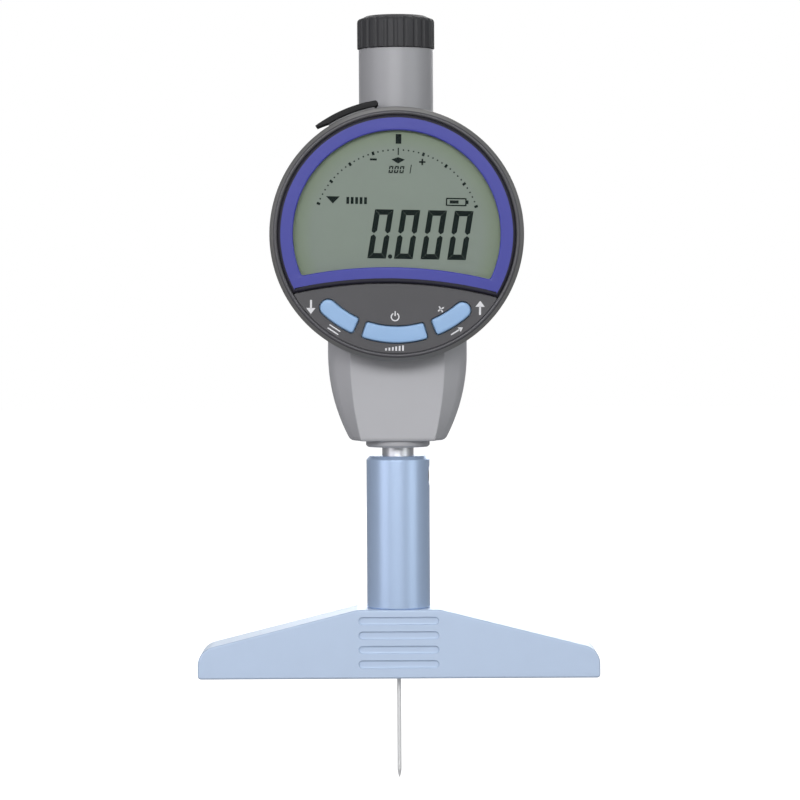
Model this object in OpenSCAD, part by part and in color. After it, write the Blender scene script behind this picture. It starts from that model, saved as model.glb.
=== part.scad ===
// Digital depth gauge: a round electronic indicator with a turning display head, held by its
// 8 mm stem in a sleeve on a 101.6 mm base bar. The sprung plunger carries a needle through the base.
// Origin: centre of the base's underside, which is the measuring plane. +Z is up along the spindle,
// and the display faces -Y. Sizes are in millimetres.

/* [Base bar] */
// Length of the base bar
base_len = 101.6; // [80:0.1:160]
// Thickness of the base bar, front to back
base_t = 16; // [16:0.5:24]
// Height of the base bar at its middle
base_h = 17.4; // [16:0.2:26]
// Height of the upright part of each end
base_end_h = 3.5; // [2.5:0.1:6]
// Radius that rounds each end into the sloping shoulder
base_end_r = 4.8; // [2:0.1:7]
// Length of the level top between the two shoulders
base_top_len = 21.2; // [20:0.2:40]
// Radius of the two lower corners
base_corner_r = 0.8; // [0.3:0.1:2]
// Diameter of the hole that the needle passes through
needle_hole_d = 6.4; // [5.6:0.1:8]

/* [Grip grooves] */
// Number of grooves milled across each broad side of the base
groove_count = 4; // [1:1:4]
// Overall length of a groove
groove_len = 20.2; // [10:0.2:30]
// Width of a groove
groove_w = 1.9; // [1:0.1:2.6]
// Distance between grooves
groove_pitch = 3.65; // [3:0.05:3.8]
// Depth of a groove
groove_depth = 0.5; // [0.2:0.1:1]

/* [Holder sleeve] */
// Outside diameter of the sleeve
sleeve_d = 16; // [15:0.5:16]
// Length of the sleeve above the base
sleeve_len = 38.6; // [34:0.2:50]
// Edge break at the sleeve's top
sleeve_edge = 0.9; // [0.3:0.1:1.5]
// Diameter of the threaded spigot in the base
spigot_d = 12; // [10.5:0.5:13]
// Length of the spigot
spigot_len = 10; // [6:0.5:12]
// Depth of the stem inside the sleeve
stem_grip = 16; // [12:0.2:20]

/* [Stem clamp] */
// Diameter of the hexagon socket set screw
clamp_screw_d = 4; // [3:0.5:5]
// Distance of the set screw below the sleeve's top
clamp_drop = 5; // [4:0.1:9]
// Thickness of the brass pad under the set screw
clamp_pad_t = 0.9; // [0.6:0.1:1.4]

/* [Stem and plunger] */
// Diameter of the indicator's clamping stem
stem_d = 8; // [8:0.5:9.5]
// Visible gap between the sleeve and the boss under the case
stem_gap = 2.3; // [1:0.1:4]
// Diameter of the spindle
spindle_d = 4; // [3.6:0.1:4.4]
// Full travel of the plunger
plunger_travel = 26.5; // [20:0.5:27]
// Travel left over when the needle is level with the measuring plane
over_travel = 0.5; // [0.2:0.1:2]
// Diameter of the needle
needle_d = 1; // [0.6:0.1:1.6]
// Diameter of the holder that screws the needle to the spindle
holder_d = 4.8; // [4.6:0.1:5.2]
// Length of the needle holder
holder_len = 9; // [6:0.5:10]

/* [Case] */
// Radius of the round part of the case
case_r = 28.5; // [27.5:0.1:29.5]
// Wall thickness of the round part
case_wall = 3.2; // [3:0.1:3.6]
// Distance of the case's front face in front of the spindle axis
case_front = 9.3; // [9.2:0.1:9.6]
// Distance of the case's rear rim behind the spindle axis
case_back = 9.5; // [9.4:0.1:12]
// Height of the display's centre above the underside of the case
head_rise = 51.8; // [50.5:0.1:54]
// Height of the boss under the case
boss_h = 1.7; // [1:0.1:4]
// Diameter of the boss under the case
boss_d = 16.2; // [12:0.1:18]
// Thickness of the front wall that carries the display head
front_wall = 1.4; // [1.3:0.1:1.6]
// Thickness of the solid metal above the underside of the case
floor_t = 7.5; // [5:0.1:8]

/* [Lower body] */
// Width of the lower body where it meets the round part
body_w = 35.2; // [32:0.2:38]
// Width of the lower body at its underside
body_foot_w = 24; // [23:0.2:30]
// Height at which the sides begin to curve in
body_curve_h = 22; // [12:0.2:24]
// Width of the flat front facet at the top
facet_w = 23.8; // [20:0.2:28]
// Width of the flat front facet at the bottom
facet_foot_w = 18.6; // [16:0.2:22]
// Depth of the slanted facets beside it
facet_depth = 4; // [2:0.1:6]

/* [Guard tube and cap] */
// Outside diameter of the spindle guard tube
tube_d = 18.8; // [17:0.1:18.8]
// Bore of the guard tube
tube_bore = 14; // [12:0.1:14.4]
// Height of the threaded end that the cap screws on
tube_thread_len = 4.2; // [3:0.1:5]
// Diameter of the cap over its ribs
cap_d = 19.6; // [19:0.1:22]
// Height of the cap
cap_h = 8.3; // [7:0.1:12]
// Thickness of the cap's top
cap_top_t = 1.3; // [1:0.1:2]
// Number of flutes round the cap
flute_count = 24; // [12:1:32]

/* [Display head] */
// Diameter of the bezel
bezel_d = 63.2; // [62.4:0.1:64]
// Thickness of the display head, front to back
bezel_depth = 11; // [11:0.1:14]
// Height of the bezel's front chamfer
bezel_chamfer = 1.4; // [0.6:0.1:1.6]
// Turn of the display head from upright, clockwise, in degrees
head_turn = 1.4; // [-10:0.1:10]
// Outside radius of the blue window frame
frame_r = 29.4; // [28.4:0.1:29.6]
// Width of the blue window frame
frame_w = 3.7; // [2.6:0.1:4]
// How far the window frame stands out of the button panel
frame_proud = 0.6; // [0.3:0.1:1]
// Distance of the frame's lower edge under the display's centre
sill_drop = 12; // [9.5:0.05:13]
// Radius of the frame's arched lower edge
sill_r = 108; // [90:1:200]

/* [Buttons] */
// Inner radius of the row of buttons
button_r0 = 22.9; // [21.5:0.1:23]
// Width of a button across the row
button_w = 4; // [3:0.1:4]
// Half angle that the middle button spans
mid_button_half = 17.7; // [14:0.1:18]
// Angle from straight down at which a side button begins
side_button_from = 23; // [22:0.1:25]
// Angle from straight down at which a side button ends
side_button_to = 46.5; // [40:0.1:48]
// Height of a button above the panel
button_proud = 0.8; // [0.6:0.1:1.2]
// Clearance round a button
button_gap = 0.25; // [0.1:0.05:0.3]

/* [Data port] */
// Angle of the data port round the head, anticlockwise from the right
port_angle = 112; // [107:1:114]
// Angle that the port's housing spans
port_span = 22; // [20:0.5:24]
// Height of the port's housing above the bezel
port_rise = 0.4; // [0.3:0.1:2.4]
// Thickness of the rubber port cover
cover_t = 1.5; // [1:0.1:1.8]
// Angle of the pull tab beyond the housing
tab_span = 5; // [2:0.5:7]

/* [Rear] */
// Thickness of the back cover
back_t = 1.5; // [1.4:0.1:2.5]
// Number of back cover screws
back_screws = 4; // [3:1:8]
// Diameter of the coin cell
cell_d = 20; // [16:0.5:20]
// Thickness of the coin cell
cell_t = 3.2; // [2:0.1:3.2]

/* [Hidden] */

$fn = 96;
over = 1;            // how far a cutter runs past the face it cuts
fit = 0.03;          // radial clearance of a running fit
slip = 0.1;          // clearance between pieces that slide or lift apart
seam = 0.3;          // gap between the case and the turning head

// Heights, from the measuring plane up
sleeve_top = base_h + sleeve_len;
boss_bottom = sleeve_top + stem_gap;
boss_taper = 0.5;
case_bottom = boss_bottom + boss_h;
head_z = case_bottom + head_rise;
floor_z = case_bottom + floor_t;
stem_bottom = sleeve_top - stem_grip;
neck_h = 0.7;
neck_top = head_z + case_r + neck_h;
bush_drop = 2.5;
bush_len = 8;
stem_wall = 1.2;
upper_bush_wall = 2;
upper_bush_top = neck_top - bush_drop;
upper_bush_r = spindle_d / 2 + upper_bush_wall;
spigot_rise = 4;     // of the neck's spigot inside the guard tube
spindle_top = upper_bush_top + 0.5;
cap_ceiling = spindle_top + plunger_travel + 0.5;
cap_top = cap_ceiling + cap_top_t;
cap_base = cap_top - cap_h;
tube_end = cap_base + tube_thread_len;
spindle_bottom = stem_bottom - plunger_travel - 1;
holder_bottom = spindle_bottom - holder_len;
needle_out = plunger_travel - over_travel;
needle_root = 4.5;   // length of needle inside its holder

// Depths in front of the spindle axis (negative is behind it)
head_back = case_front + seam;
bezel_back = head_back + 0.2;
bezel_front = bezel_back + bezel_depth;
panel_face = bezel_front - 0.5;
panel_t = 1.5;
panel_back = panel_face - panel_t;
frame_face = panel_face + frame_proud;
lens_t = 1;
lens_face = panel_back + slip + lens_t;
lcd_t = 2;
lcd_face = panel_back - 0.2;
lcd_back = lcd_face - lcd_t;
holder_face = panel_back - 0.05;
lcd_floor_t = 1;
holder_back = lcd_back - lcd_floor_t;
board_t = 1;
board_front = holder_back - 0.6;
board_back = board_front - board_t;
shell_plate_t = 1.2;
shell_plate_front = head_back + shell_plate_t;
front_wall_back = case_front - front_wall;

// Radii of the display head
bezel_r = bezel_d / 2;
shell_r = bezel_r - 1.5;
shell_wall = 1.2;
bezel_lip_r = frame_r + 0.25;
panel_r = bezel_lip_r - 0.05;
lens_rebate = 1;
window_r = frame_r - frame_w;
window_drop = sill_drop - 3.8;
hub_r = 15;
hub_bore = 13;
hub_back = front_wall_back - 1;
ring_seat = 0.6;     // depth of the retaining ring's groove
ring_w = 2;
ring_t = 0.4;
washer_w = 3.5;
washer_t = 0.3;
stop_pin_r = 1;
stop_pin_orbit = 21;
stop_pin_depth = 1;
head_swing = 165;    // turn of the head each way from rest
board_r = shell_r - shell_wall - 0.7;
board_post_r = 1.8;
board_screw_orbit = board_r - 2.4;
board_screw_angles = [90, 210, 330];
cpu_w = 8;
cpu_t = 1.2;
flex_w = 8;
flex_t = 0.2;
flex_plug_h = 3;
flex_plug_y = 5;
connector_half_w = 17.8;
connector_h = 1.6;

small_screw_r = 0.7;
small_head_r = 1.4;
small_head_t = 0.5;

// Case
cavity_r = case_r - case_wall;
channel_w = 20;
channel_back = -6.8;
channel_front = case_front - 2.4;
cover_screw_r = 0.8;
cover_screw_len = 5;
cover_head_r = 1.45;
cover_head_t = 0.75;
cover_screw_orbit = case_r - case_wall / 2;
cover_step = 1;
cover_step_r = cavity_r - 1.3;

// Plunger and encoder
bumper_h = 2.9;
bracket_z = floor_z + bumper_h + seam;
bracket_block_h = 8;
bracket_half_w = 5;
bracket_back = 3;
plate_t = 1;
plate_back = 3.15;
plate_front = plate_back + plate_t;
scale_len = plunger_travel + 3.5;
scale_z = bracket_z + 0.8;
scale_half_w = 3.5;
scale_t = 0.8;
scale_front = plate_front + scale_t;
plate_h = scale_len + 1.6;
sensor_z = scale_z + scale_len - 2.5;
sensor_gap = 0.25;
chip_t = 0.7;
sensor_board_t = 0.8;
sensor_board_back = scale_front + sensor_gap + chip_t;
sensor_board_front = sensor_board_back + sensor_board_t;
sensor_board_half_w = 11.5;
sensor_board_top = head_z - 3.8;
sensor_board_bottom = sensor_z - 15;
sensor_board_step = head_z - sqrt(pow(cavity_r, 2) - pow(sensor_board_half_w + 0.5, 2));
sensor_post_r = 1.7;
sensor_post_x = 9;
sensor_post_z = head_z - hub_r - 3.8;
sensor_chip_half_w = 3;
sensor_chip_h = 3;
pin_r = 1;
pin_z = bracket_z + bracket_block_h / 2;
pin_end = 8.6;
rail_x = bracket_half_w + 1.4;
rail_half_d = 3;
rail_top = pin_z + plunger_travel + 4;
spring_x = -8;
spring_pin_r = 0.5;
spring_foot_z = floor_z + 2.2;
spring_head_z = bracket_z + plate_h - 2;
spring_coil_r = 1.25;
spring_wire_r = 0.22;

// Battery bay
cell_r = cell_d / 2;
tray_floor_front = -bracket_back - 0.6;
tray_floor_t = 0.7;
contact_t = 0.4;
contact_half_w = 1.2;
contact_half_len = 6;
cell_front = tray_floor_front - tray_floor_t - contact_t;
cell_back = cell_front - cell_t;
tray_r = cell_r + 2.6;
tray_back = -case_back;
door_r = tray_r - 0.7;
door_spigot_r = cell_r;
door_back = -case_back - back_t;
seal_w = 0.8;
seal_r = cell_r + 0.7;
lead_r = 0.5;
lead_x = 10.9;
lead_z = sensor_board_top - 0.8;

// Buttons
button_mid_r = button_r0 + button_w / 2;
button_face = panel_face + button_proud;
button_flange = 0.6;
button_flange_t = 0.8;
button_stem_r = 1.2;
button_travel = 0.5;
switch_h = 0.5;
stem_end = board_front + switch_h + button_travel + 0.25;

// Data port
port_r = bezel_r + port_rise;
cover_r0 = port_r + slip;
cover_r1 = cover_r0 + cover_t;
port_half_w = port_r * sin(port_span / 2);
port_back = bezel_back + 1.4;
port_front = bezel_front - 2.8;
socket_half_w = 4;
socket_h = 3;
socket_pin_h = 1;
pin_pitch = 1.4;
socket_mid = (port_back + port_front) / 2;
socket_bottom_r = port_r - 2.8;
plug_depth = 1;
hinge_angle = port_angle - port_span / 2 - 0.5;
hinge_r = cover_r0 + cover_t / 2;

// Points on an arc about c, from angle a0 to a1
function arc(c, r, a0, a1, n = 10) =
    [for (i = [0:n]) c + r * [cos(a0 + (a1 - a0) * i / n), sin(a0 + (a1 - a0) * i / n)]];

function mirrored(points) =
    concat(points, [for (i = [len(points) - 1:-1:0]) [-points[i][0], points[i][1]]]);

// Stands a front-view drawing upright: drawn x stays x, drawn y becomes height, drawn z comes forward
module facing() {
    rotate([90, 0, 0]) children();
}

// The same, centred on the display and not turning with it
module at_dial() {
    translate([0, 0, head_z]) facing() children();
}

// The same, turning with the display head
module at_head() {
    at_dial() rotate([0, 0, -head_turn]) children();
}

module slab(z0, z1) {
    translate([0, 0, z0]) linear_extrude(z1 - z0) children();
}

module disc(r, z0, z1) {
    translate([0, 0, z0]) cylinder(r = r, h = z1 - z0);
}

module ring(r0, r1, z0, z1) {
    difference() {
        disc(r1, z0, z1);
        disc(r0, z0 - over, z1 + over);
    }
}

// Part of a ring between two angles
module sector(r0, r1, a0, a1, z0, z1) {
    rotate([0, 0, a0])
        rotate_extrude(angle = a1 - a0)
            translate([r0, z0]) square([r1 - r0, z1 - z0]);
}

module box(x0, x1, y0, y1, z0, z1) {
    translate([x0, y0, z0]) cube([x1 - x0, y1 - y0, z1 - z0]);
}

// ---- Base and sleeve ----

// Front view of the base: upright ends, a round onto the shoulder, and a slope up to the level top
end_c = [base_len / 2 - base_end_r, base_end_h];
top_corner = [base_top_len / 2, base_h];
to_end = end_c - top_corner;
slope = atan2(to_end[1], to_end[0]) + asin(base_end_r / norm(to_end));

module base_outline() {
    corner_c = [base_len / 2 - base_corner_r, base_corner_r];
    polygon(mirrored(concat(
        arc(corner_c, base_corner_r, -90, 0, 4),
        arc(end_c, base_end_r, 0, 90 + slope, 12),
        [top_corner])));
}

module grip_groove() {
    half = (groove_len - groove_w) / 2;
    box(-half, half, -groove_w / 2, groove_w / 2, 0, groove_depth + over);
    for (side = [-1, 1])
        translate([side * half, 0, 0]) cylinder(d = groove_w, h = groove_depth + over);
}

module grip_grooves() {
    for (i = [1:groove_count])
        translate([0, i * groove_pitch, base_t / 2 - groove_depth]) grip_groove();
}

module base_bar() {
    color([0.68, 0.76, 0.88]) difference() {
        facing() difference() {
            slab(-base_t / 2, base_t / 2) base_outline();
            grip_grooves();
            rotate([0, 180, 0]) grip_grooves();
        }
        disc(needle_hole_d / 2, -over, base_h);
        disc(spigot_d / 2, base_h - spigot_len, base_h + over);
    }
}

clamp_z = sleeve_top - clamp_drop;
clamp_pad_x = stem_d / 2 + 2 * fit;
clamp_screw_x = clamp_pad_x + clamp_pad_t;
clamp_screw_end = sleeve_d / 2 - 0.15;

module holder_sleeve() {
    relief_r = stem_d / 2 + 0.5;
    color([0.58, 0.7, 0.86]) difference() {
        rotate_extrude() polygon([
            [0, base_h - spigot_len], [spigot_d / 2, base_h - spigot_len], [spigot_d / 2, base_h],
            [sleeve_d / 2, base_h], [sleeve_d / 2, sleeve_top - sleeve_edge],
            [sleeve_d / 2 - sleeve_edge, sleeve_top], [0, sleeve_top]]);
        disc(stem_d / 2 + fit, stem_bottom - over, sleeve_top + over);
        disc(relief_r, base_h, stem_bottom - 0.5);
        disc(needle_hole_d / 2, base_h - spigot_len - over, base_h + over);
        translate([0, 0, clamp_z]) rotate([0, 90, 0])
            cylinder(d = clamp_screw_d + 2 * fit, h = sleeve_d);
        translate([sleeve_d / 2 - 0.4, 0, clamp_z]) rotate([0, 90, 0])
            cylinder(d1 = clamp_screw_d, d2 = clamp_screw_d + 2, h = 1);
    }
}

module clamp_pad() {
    color([0.8, 0.66, 0.36]) translate([clamp_pad_x, 0, clamp_z]) rotate([0, 90, 0])
        cylinder(d = clamp_screw_d - 0.8, h = clamp_pad_t);
}

module clamp_screw() {
    socket_r = clamp_screw_d * 0.29;
    color([0.25, 0.25, 0.27]) translate([0, 0, clamp_z]) rotate([0, 90, 0]) difference() {
        disc(clamp_screw_d / 2, clamp_screw_x, clamp_screw_end);
        translate([0, 0, clamp_screw_end - 1.6]) cylinder(r = socket_r, h = 2, $fn = 6);
    }
}

// ---- Case ----

// Half outline of the lower body: level foot with a rounded corner, curved flank, upright top
function flank(w_top, w_foot, h) =
    let (dx = (w_top - w_foot) / 2,
         flank_r = (dx * dx + body_curve_h * body_curve_h) / (2 * dx),
         dh = max(body_curve_h - h, 0))
    w_top / 2 - flank_r + sqrt(flank_r * flank_r - dh * dh);

module body_outline(w_top, w_foot, foot_r) {
    steps = 12;
    top = head_rise - cavity_r / 2;
    polygon(mirrored(concat(
        [[w_foot / 2 - foot_r, 0], [flank(w_top, w_foot, foot_r * 0.3) - foot_r * 0.3, foot_r * 0.3]],
        [for (i = [0:steps]) let (h = foot_r + (body_curve_h - foot_r) * i / steps)
            [flank(w_top, w_foot, h), h]],
        [[w_top / 2, top]])));
}

module lower_body_skin() {
    side_r = 1.4;
    foot_r = 0.7;
    skin = 0.01;
    hull() {
        slab(-case_back, -case_back + skin)
            body_outline(body_w - 2 * side_r, body_foot_w - 2 * side_r, foot_r);
        slab(-case_back + side_r, case_front - facet_depth - 2 * side_r)
            body_outline(body_w, body_foot_w, foot_r);
        slab(case_front - facet_depth, case_front - facet_depth + skin)
            body_outline(body_w - 2 * side_r, body_foot_w - 2 * side_r, foot_r);
        slab(case_front - skin, case_front) body_outline(facet_w, facet_foot_w, foot_r / 2);
    }
}

module case_body() {
    color([0.66, 0.66, 0.69]) union() {
        difference() {
            union() {
                at_dial() disc(case_r, -case_back, case_front);
                translate([0, 0, case_bottom]) facing() lower_body_skin();
                disc(tube_d / 2, head_z + cavity_r, neck_top);
                disc(tube_bore / 2, neck_top - over, neck_top + spigot_rise);
                rotate_extrude() polygon([
                    [0, boss_bottom], [boss_d / 2 - boss_taper, boss_bottom],
                    [boss_d / 2, boss_bottom + boss_taper], [boss_d / 2, case_bottom + over],
                    [0, case_bottom + over]]);
            }
            at_dial() disc(cavity_r, -case_back - over, front_wall_back);
            at_dial() disc(hub_r + 2 * fit, front_wall_back - over, case_front + over);
            box(-channel_w / 2, channel_w / 2, -channel_front, -channel_back,
                floor_z, head_z - cavity_r / 2);
            disc(stem_d / 2, boss_bottom - over, floor_z + over);
            disc(upper_bush_r + 1, upper_bush_top, neck_top + spigot_rise + over);
            at_dial() rotate([0, 0, 90 - head_turn])
                sector(stop_pin_orbit - stop_pin_r - 0.2, stop_pin_orbit + stop_pin_r + 0.2,
                    -head_swing - 4, head_swing + 4, case_front - stop_pin_depth + 0.1, case_front + over);
            at_back_screws() disc(cover_screw_r, -case_back - over, -case_back + cover_screw_len);
            disc(upper_bush_r, upper_bush_top - bush_len, neck_top);
        }
        // boss that holds the upper bush, and the two posts of the sensor board
        difference() {
            disc(upper_bush_r + 2, upper_bush_top - bush_len, head_z + cavity_r + case_wall / 4);
            disc(upper_bush_r, upper_bush_top - bush_len - over, neck_top);
        }
        for (side = [-1, 1])
            translate([side * sensor_post_x, 0, sensor_post_z]) facing() difference() {
                disc(sensor_post_r, sensor_board_front, front_wall_back + front_wall / 4);
                disc(small_screw_r, sensor_board_front - over, front_wall_back - slip);
            }
    }
}

module stem() {
    color([0.8, 0.8, 0.82]) difference() {
        disc(stem_d / 2, stem_bottom, floor_z);
        disc(stem_d / 2 - stem_wall, stem_bottom - over, floor_z + over);
    }
}

module spindle_bushes() {
    color([0.72, 0.56, 0.32]) {
        ring(spindle_d / 2 + fit, stem_d / 2 - stem_wall, stem_bottom, stem_bottom + bush_len);
        ring(spindle_d / 2 + fit, stem_d / 2 - stem_wall, floor_z - bush_len, floor_z);
        ring(spindle_d / 2 + fit, upper_bush_r, upper_bush_top - bush_len, upper_bush_top);
    }
}

module guard_tube() {
    thread_r = tube_d / 2 - 1.1;
    color([0.68, 0.68, 0.71]) difference() {
        rotate_extrude() polygon([
            [tube_bore / 2, neck_top], [tube_d / 2, neck_top], [tube_d / 2, cap_base - slip],
            [tube_d / 2 - slip, cap_base], [thread_r, cap_base], [thread_r, tube_end],
            [tube_bore / 2, tube_end]]);
    }
}

module back_cover() {
    color([0.6, 0.6, 0.63]) difference() {
        at_dial() disc(case_r, door_back, -case_back);
        at_dial() disc(door_r + slip, door_back - over, -case_back + over);
        at_back_screws() {
            disc(cover_screw_r + slip, door_back - over, -case_back + over);
            translate([0, 0, door_back - slip])
                cylinder(r1 = cover_head_r + 2 * slip, r2 = cover_screw_r + slip,
                    h = cover_head_t + 2 * slip);
        }
    }
    color([0.6, 0.6, 0.63]) at_dial() ring(tray_r + slip, cover_step_r, -case_back, -case_back + cover_step);
}

// Four places round the rim, on the slants
module at_back_screws() {
    for (i = [0:back_screws - 1])
        at_dial() rotate([0, 0, 45 + i * 360 / back_screws]) translate([cover_screw_orbit, 0, 0]) children();
}

module back_cover_screws() {
    cross_w = 0.3;
    color([0.7, 0.7, 0.72]) at_back_screws() difference() {
        union() {
            translate([0, 0, door_back + fit])
                cylinder(r1 = cover_head_r, r2 = cover_screw_r - fit, h = cover_head_t);
            disc(cover_screw_r - fit, door_back + cover_head_t / 2, -case_back + cover_screw_len - over);
        }
        for (turn = [0, 90])
            rotate([0, 0, turn])
                box(-cover_head_r * 0.6, cover_head_r * 0.6, -cross_w / 2, cross_w / 2,
                    door_back - over, door_back + cover_head_t / 2);
    }
}

module back_gasket() {
    color([0.12, 0.12, 0.13]) at_dial()
        ring(cover_step_r, cavity_r, -case_back, -case_back + 0.8);
}

// ---- Battery bay ----

module battery_tray() {
    color([0.15, 0.15, 0.16]) at_dial() difference() {
        disc(tray_r, tray_back, tray_floor_front);
        disc(cell_r + 0.15, tray_back - over, tray_floor_front - tray_floor_t);
        ring(seal_r - 0.1, seal_r + seal_w + 0.1, tray_back - over, tray_back + 0.8);
    }
}

module battery_contacts() {
    z0 = tray_floor_front - tray_floor_t - contact_t;
    color([0.82, 0.7, 0.4]) at_dial() {
        box(-contact_half_w, contact_half_w, -contact_half_len, contact_half_len, z0, z0 + contact_t);
        for (side = [-1, 1])
            translate([side * cell_r * 0.65, 0, z0])
                box(-contact_half_w, contact_half_w, -contact_half_len / 2, contact_half_len / 2,
                    0, contact_t);
    }
}

module coin_cell() {
    color([0.78, 0.78, 0.8]) at_dial() {
        disc(cell_r, cell_back, cell_front - 0.6);
        disc(cell_r - 1.5, cell_front - 0.6, cell_front);
    }
}

module battery_leads() {
    color([0.7, 0.15, 0.12])
        for (side = [-1, 1])
            translate([side * lead_x, 0, lead_z]) facing() disc(lead_r, tray_floor_front, sensor_board_back);
}

module battery_door_seal() {
    color([0.1, 0.1, 0.11]) at_dial()
        ring(seal_r, seal_r + seal_w, tray_back, tray_back + 0.75);
}

module battery_door() {
    coin_slot_w = 1.8;
    color([0.55, 0.55, 0.58]) at_dial() difference() {
        union() {
            disc(door_r, door_back, -case_back - 0.05);
            disc(door_spigot_r, -case_back - 0.05, cell_back - slip);
        }
        box(-door_r * 0.6, door_r * 0.6, -coin_slot_w / 2, coin_slot_w / 2,
            door_back - over, door_back + 0.8);
    }
}

// ---- Guard cap ----

module guard_cap() {
    flute_r = 0.75;
    edge = 1;
    skirt_r = tube_d / 2 - 1;
    color([0.22, 0.22, 0.24]) difference() {
        rotate_extrude() polygon([
            [0, cap_base + 0.05], [cap_d / 2, cap_base + 0.05], [cap_d / 2, cap_top - edge],
            [cap_d / 2 - edge, cap_top], [0, cap_top]]);
        disc(skirt_r, cap_base - over, tube_end + 0.9);
        disc(tube_bore / 2, cap_base, cap_ceiling);
        for (i = [0:flute_count - 1])
            rotate([0, 0, i * 360 / flute_count]) translate([cap_d / 2 + flute_r * 0.5, 0, cap_base - over])
                cylinder(r = flute_r, h = cap_h + 2 * over, $fn = 24);
    }
}

module cap_seal() {
    color([0.1, 0.1, 0.11])
        ring(tube_bore / 2 + 0.1, tube_d / 2 - 1.15, tube_end + 0.05, tube_end + 0.85);
}

// ---- Plunger ----

module spindle() {
    tip = 0.4;
    color([0.75, 0.75, 0.77]) rotate_extrude() polygon([
        [0, spindle_bottom], [spindle_d / 2, spindle_bottom], [spindle_d / 2, spindle_top - tip],
        [spindle_d / 2 - tip, spindle_top], [0, spindle_top]]);
}

module needle_holder() {
    color([0.7, 0.7, 0.72]) difference() {
        rotate_extrude() polygon([
            [0, holder_bottom], [needle_d / 2 + 0.5, holder_bottom],
            [holder_d / 2, holder_bottom + 3], [holder_d / 2, spindle_bottom - 0.4],
            [holder_d / 2 - 0.4, spindle_bottom], [0, spindle_bottom]]);
        disc(needle_d / 2, holder_bottom - over, holder_bottom + needle_root);
    }
}

module needle() {
    color([0.72, 0.72, 0.72]) rotate_extrude() polygon([
        [0, -needle_out], [needle_d * 0.2, -needle_out], [needle_d / 2, -needle_out + needle_d * 1.5],
        [needle_d / 2, holder_bottom + needle_root], [0, holder_bottom + needle_root]]);
}

module scale_bracket() {
    arm_z = bracket_z + plate_h;
    color([0.7, 0.7, 0.68]) difference() {
        union() {
            box(-bracket_half_w, bracket_half_w, -plate_back, bracket_back,
                bracket_z, bracket_z + bracket_block_h);
            box(-bracket_half_w + 0.5, bracket_half_w - 0.5, -plate_front, -plate_back, bracket_z, arm_z);
            box(spring_x - 1, 0, -plate_front, -plate_back, arm_z - 3, arm_z);
            translate([spring_x, 0, spring_head_z]) facing() disc(spring_pin_r, -1, plate_back + 0.2);
        }
        disc(spindle_d / 2, bracket_z - over, arm_z);
        translate([bracket_half_w - 2.5, 0, pin_z]) rotate([0, 90, 0]) cylinder(r = pin_r, h = 5);
    }
}

module glass_scale() {
    color([0.8, 0.86, 0.84]) box(-scale_half_w, scale_half_w, -scale_front, -plate_front,
        scale_z, scale_z + scale_len);
}

module guide_pin() {
    color([0.78, 0.78, 0.8]) translate([0, 0, pin_z]) rotate([0, 90, 0])
        disc(pin_r, bracket_half_w - 2.5, pin_end);
}

module guide_rail() {
    wall_x = channel_w / 2;
    color([0.74, 0.6, 0.36]) difference() {
        box(rail_x, wall_x, -rail_half_d, rail_half_d, floor_z, rail_top);
        box(rail_x - over, pin_end + 0.4, -pin_r - fit, pin_r + fit, pin_z - pin_r - 0.5, rail_top - 2.5);
    }
}

// Extension spring: close coils, with a hook at each end that goes round a pin
spring_turns = 24;
spring_rings = 8;
hook_r = spring_pin_r + spring_wire_r + 0.08;
hook_rise = 1.7;

function coil_point(t) = [
    spring_coil_r * cos(360 * spring_turns * t),
    spring_coil_r * sin(360 * spring_turns * t),
    spring_foot_z + hook_rise + (spring_head_z - spring_foot_z - 2 * hook_rise) * t];

// A hook, drawn round a pin at the origin and ending under the first coil
hook = concat(
    [for (a = [150:30:330]) hook_r * [cos(a), 0, sin(a)]],
    [[hook_r, 0, 0.1], [hook_r + 0.15, -0.1, 0.9], [spring_coil_r - 0.1, -0.45, hook_rise - 0.1]]);

function unit(v) = v / norm(v);

module swept_wire(points, r, sides = 6) {
    n = len(points);
    along = [for (i = [0:n - 1]) unit(points[min(i + 1, n - 1)] - points[max(i - 1, 0)])];
    // each ring's first direction follows on from the ring before it, so the wire doesn't twist
    across = [for (i = 0, u = [0, 1, 0]; i < n;
        i = i + 1, u = unit(u - (u * along[min(i, n - 1)]) * along[min(i, n - 1)])) u];
    verts = [for (i = [0:n - 1])
        let (v = cross(along[i], across[i]))
        for (k = [0:sides - 1]) let (a = 360 * k / sides)
            points[i] + r * (across[i] * cos(a) + v * sin(a))];
    walls = [for (i = [0:n - 2]) for (k = [0:sides - 1])
        let (a = i * sides + k, b = i * sides + (k + 1) % sides)
        for (f = [[a, b, b + sides], [a, b + sides, a + sides]]) f];
    ends = [[for (k = [sides - 1:-1:0]) k], [for (k = [0:sides - 1]) (n - 1) * sides + k]];
    polyhedron(verts, concat(walls, ends), convexity = 10);
}

module return_spring() {
    steps = spring_turns * spring_rings;
    foot_hook = [for (p = hook) p + [0, 0, spring_foot_z]];
    head_hook = [for (i = [len(hook) - 1:-1:0]) [hook[i][0], -hook[i][1], spring_head_z - hook[i][2]]];
    coils = [for (i = [0:steps]) coil_point(i / steps)];
    color([0.72, 0.72, 0.74]) translate([spring_x, 0, 0])
        swept_wire(concat(foot_hook, coils, head_hook), spring_wire_r);
}

module spring_post() {
    color([0.78, 0.78, 0.8]) translate([spring_x, 0, spring_foot_z]) facing()
        disc(spring_pin_r, channel_back, 2.5);
}

module stop_bumper() {
    color([0.14, 0.14, 0.15]) ring(spindle_d / 2 + 0.3, spindle_d / 2 + 2.2, floor_z, floor_z + bumper_h);
}

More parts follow.
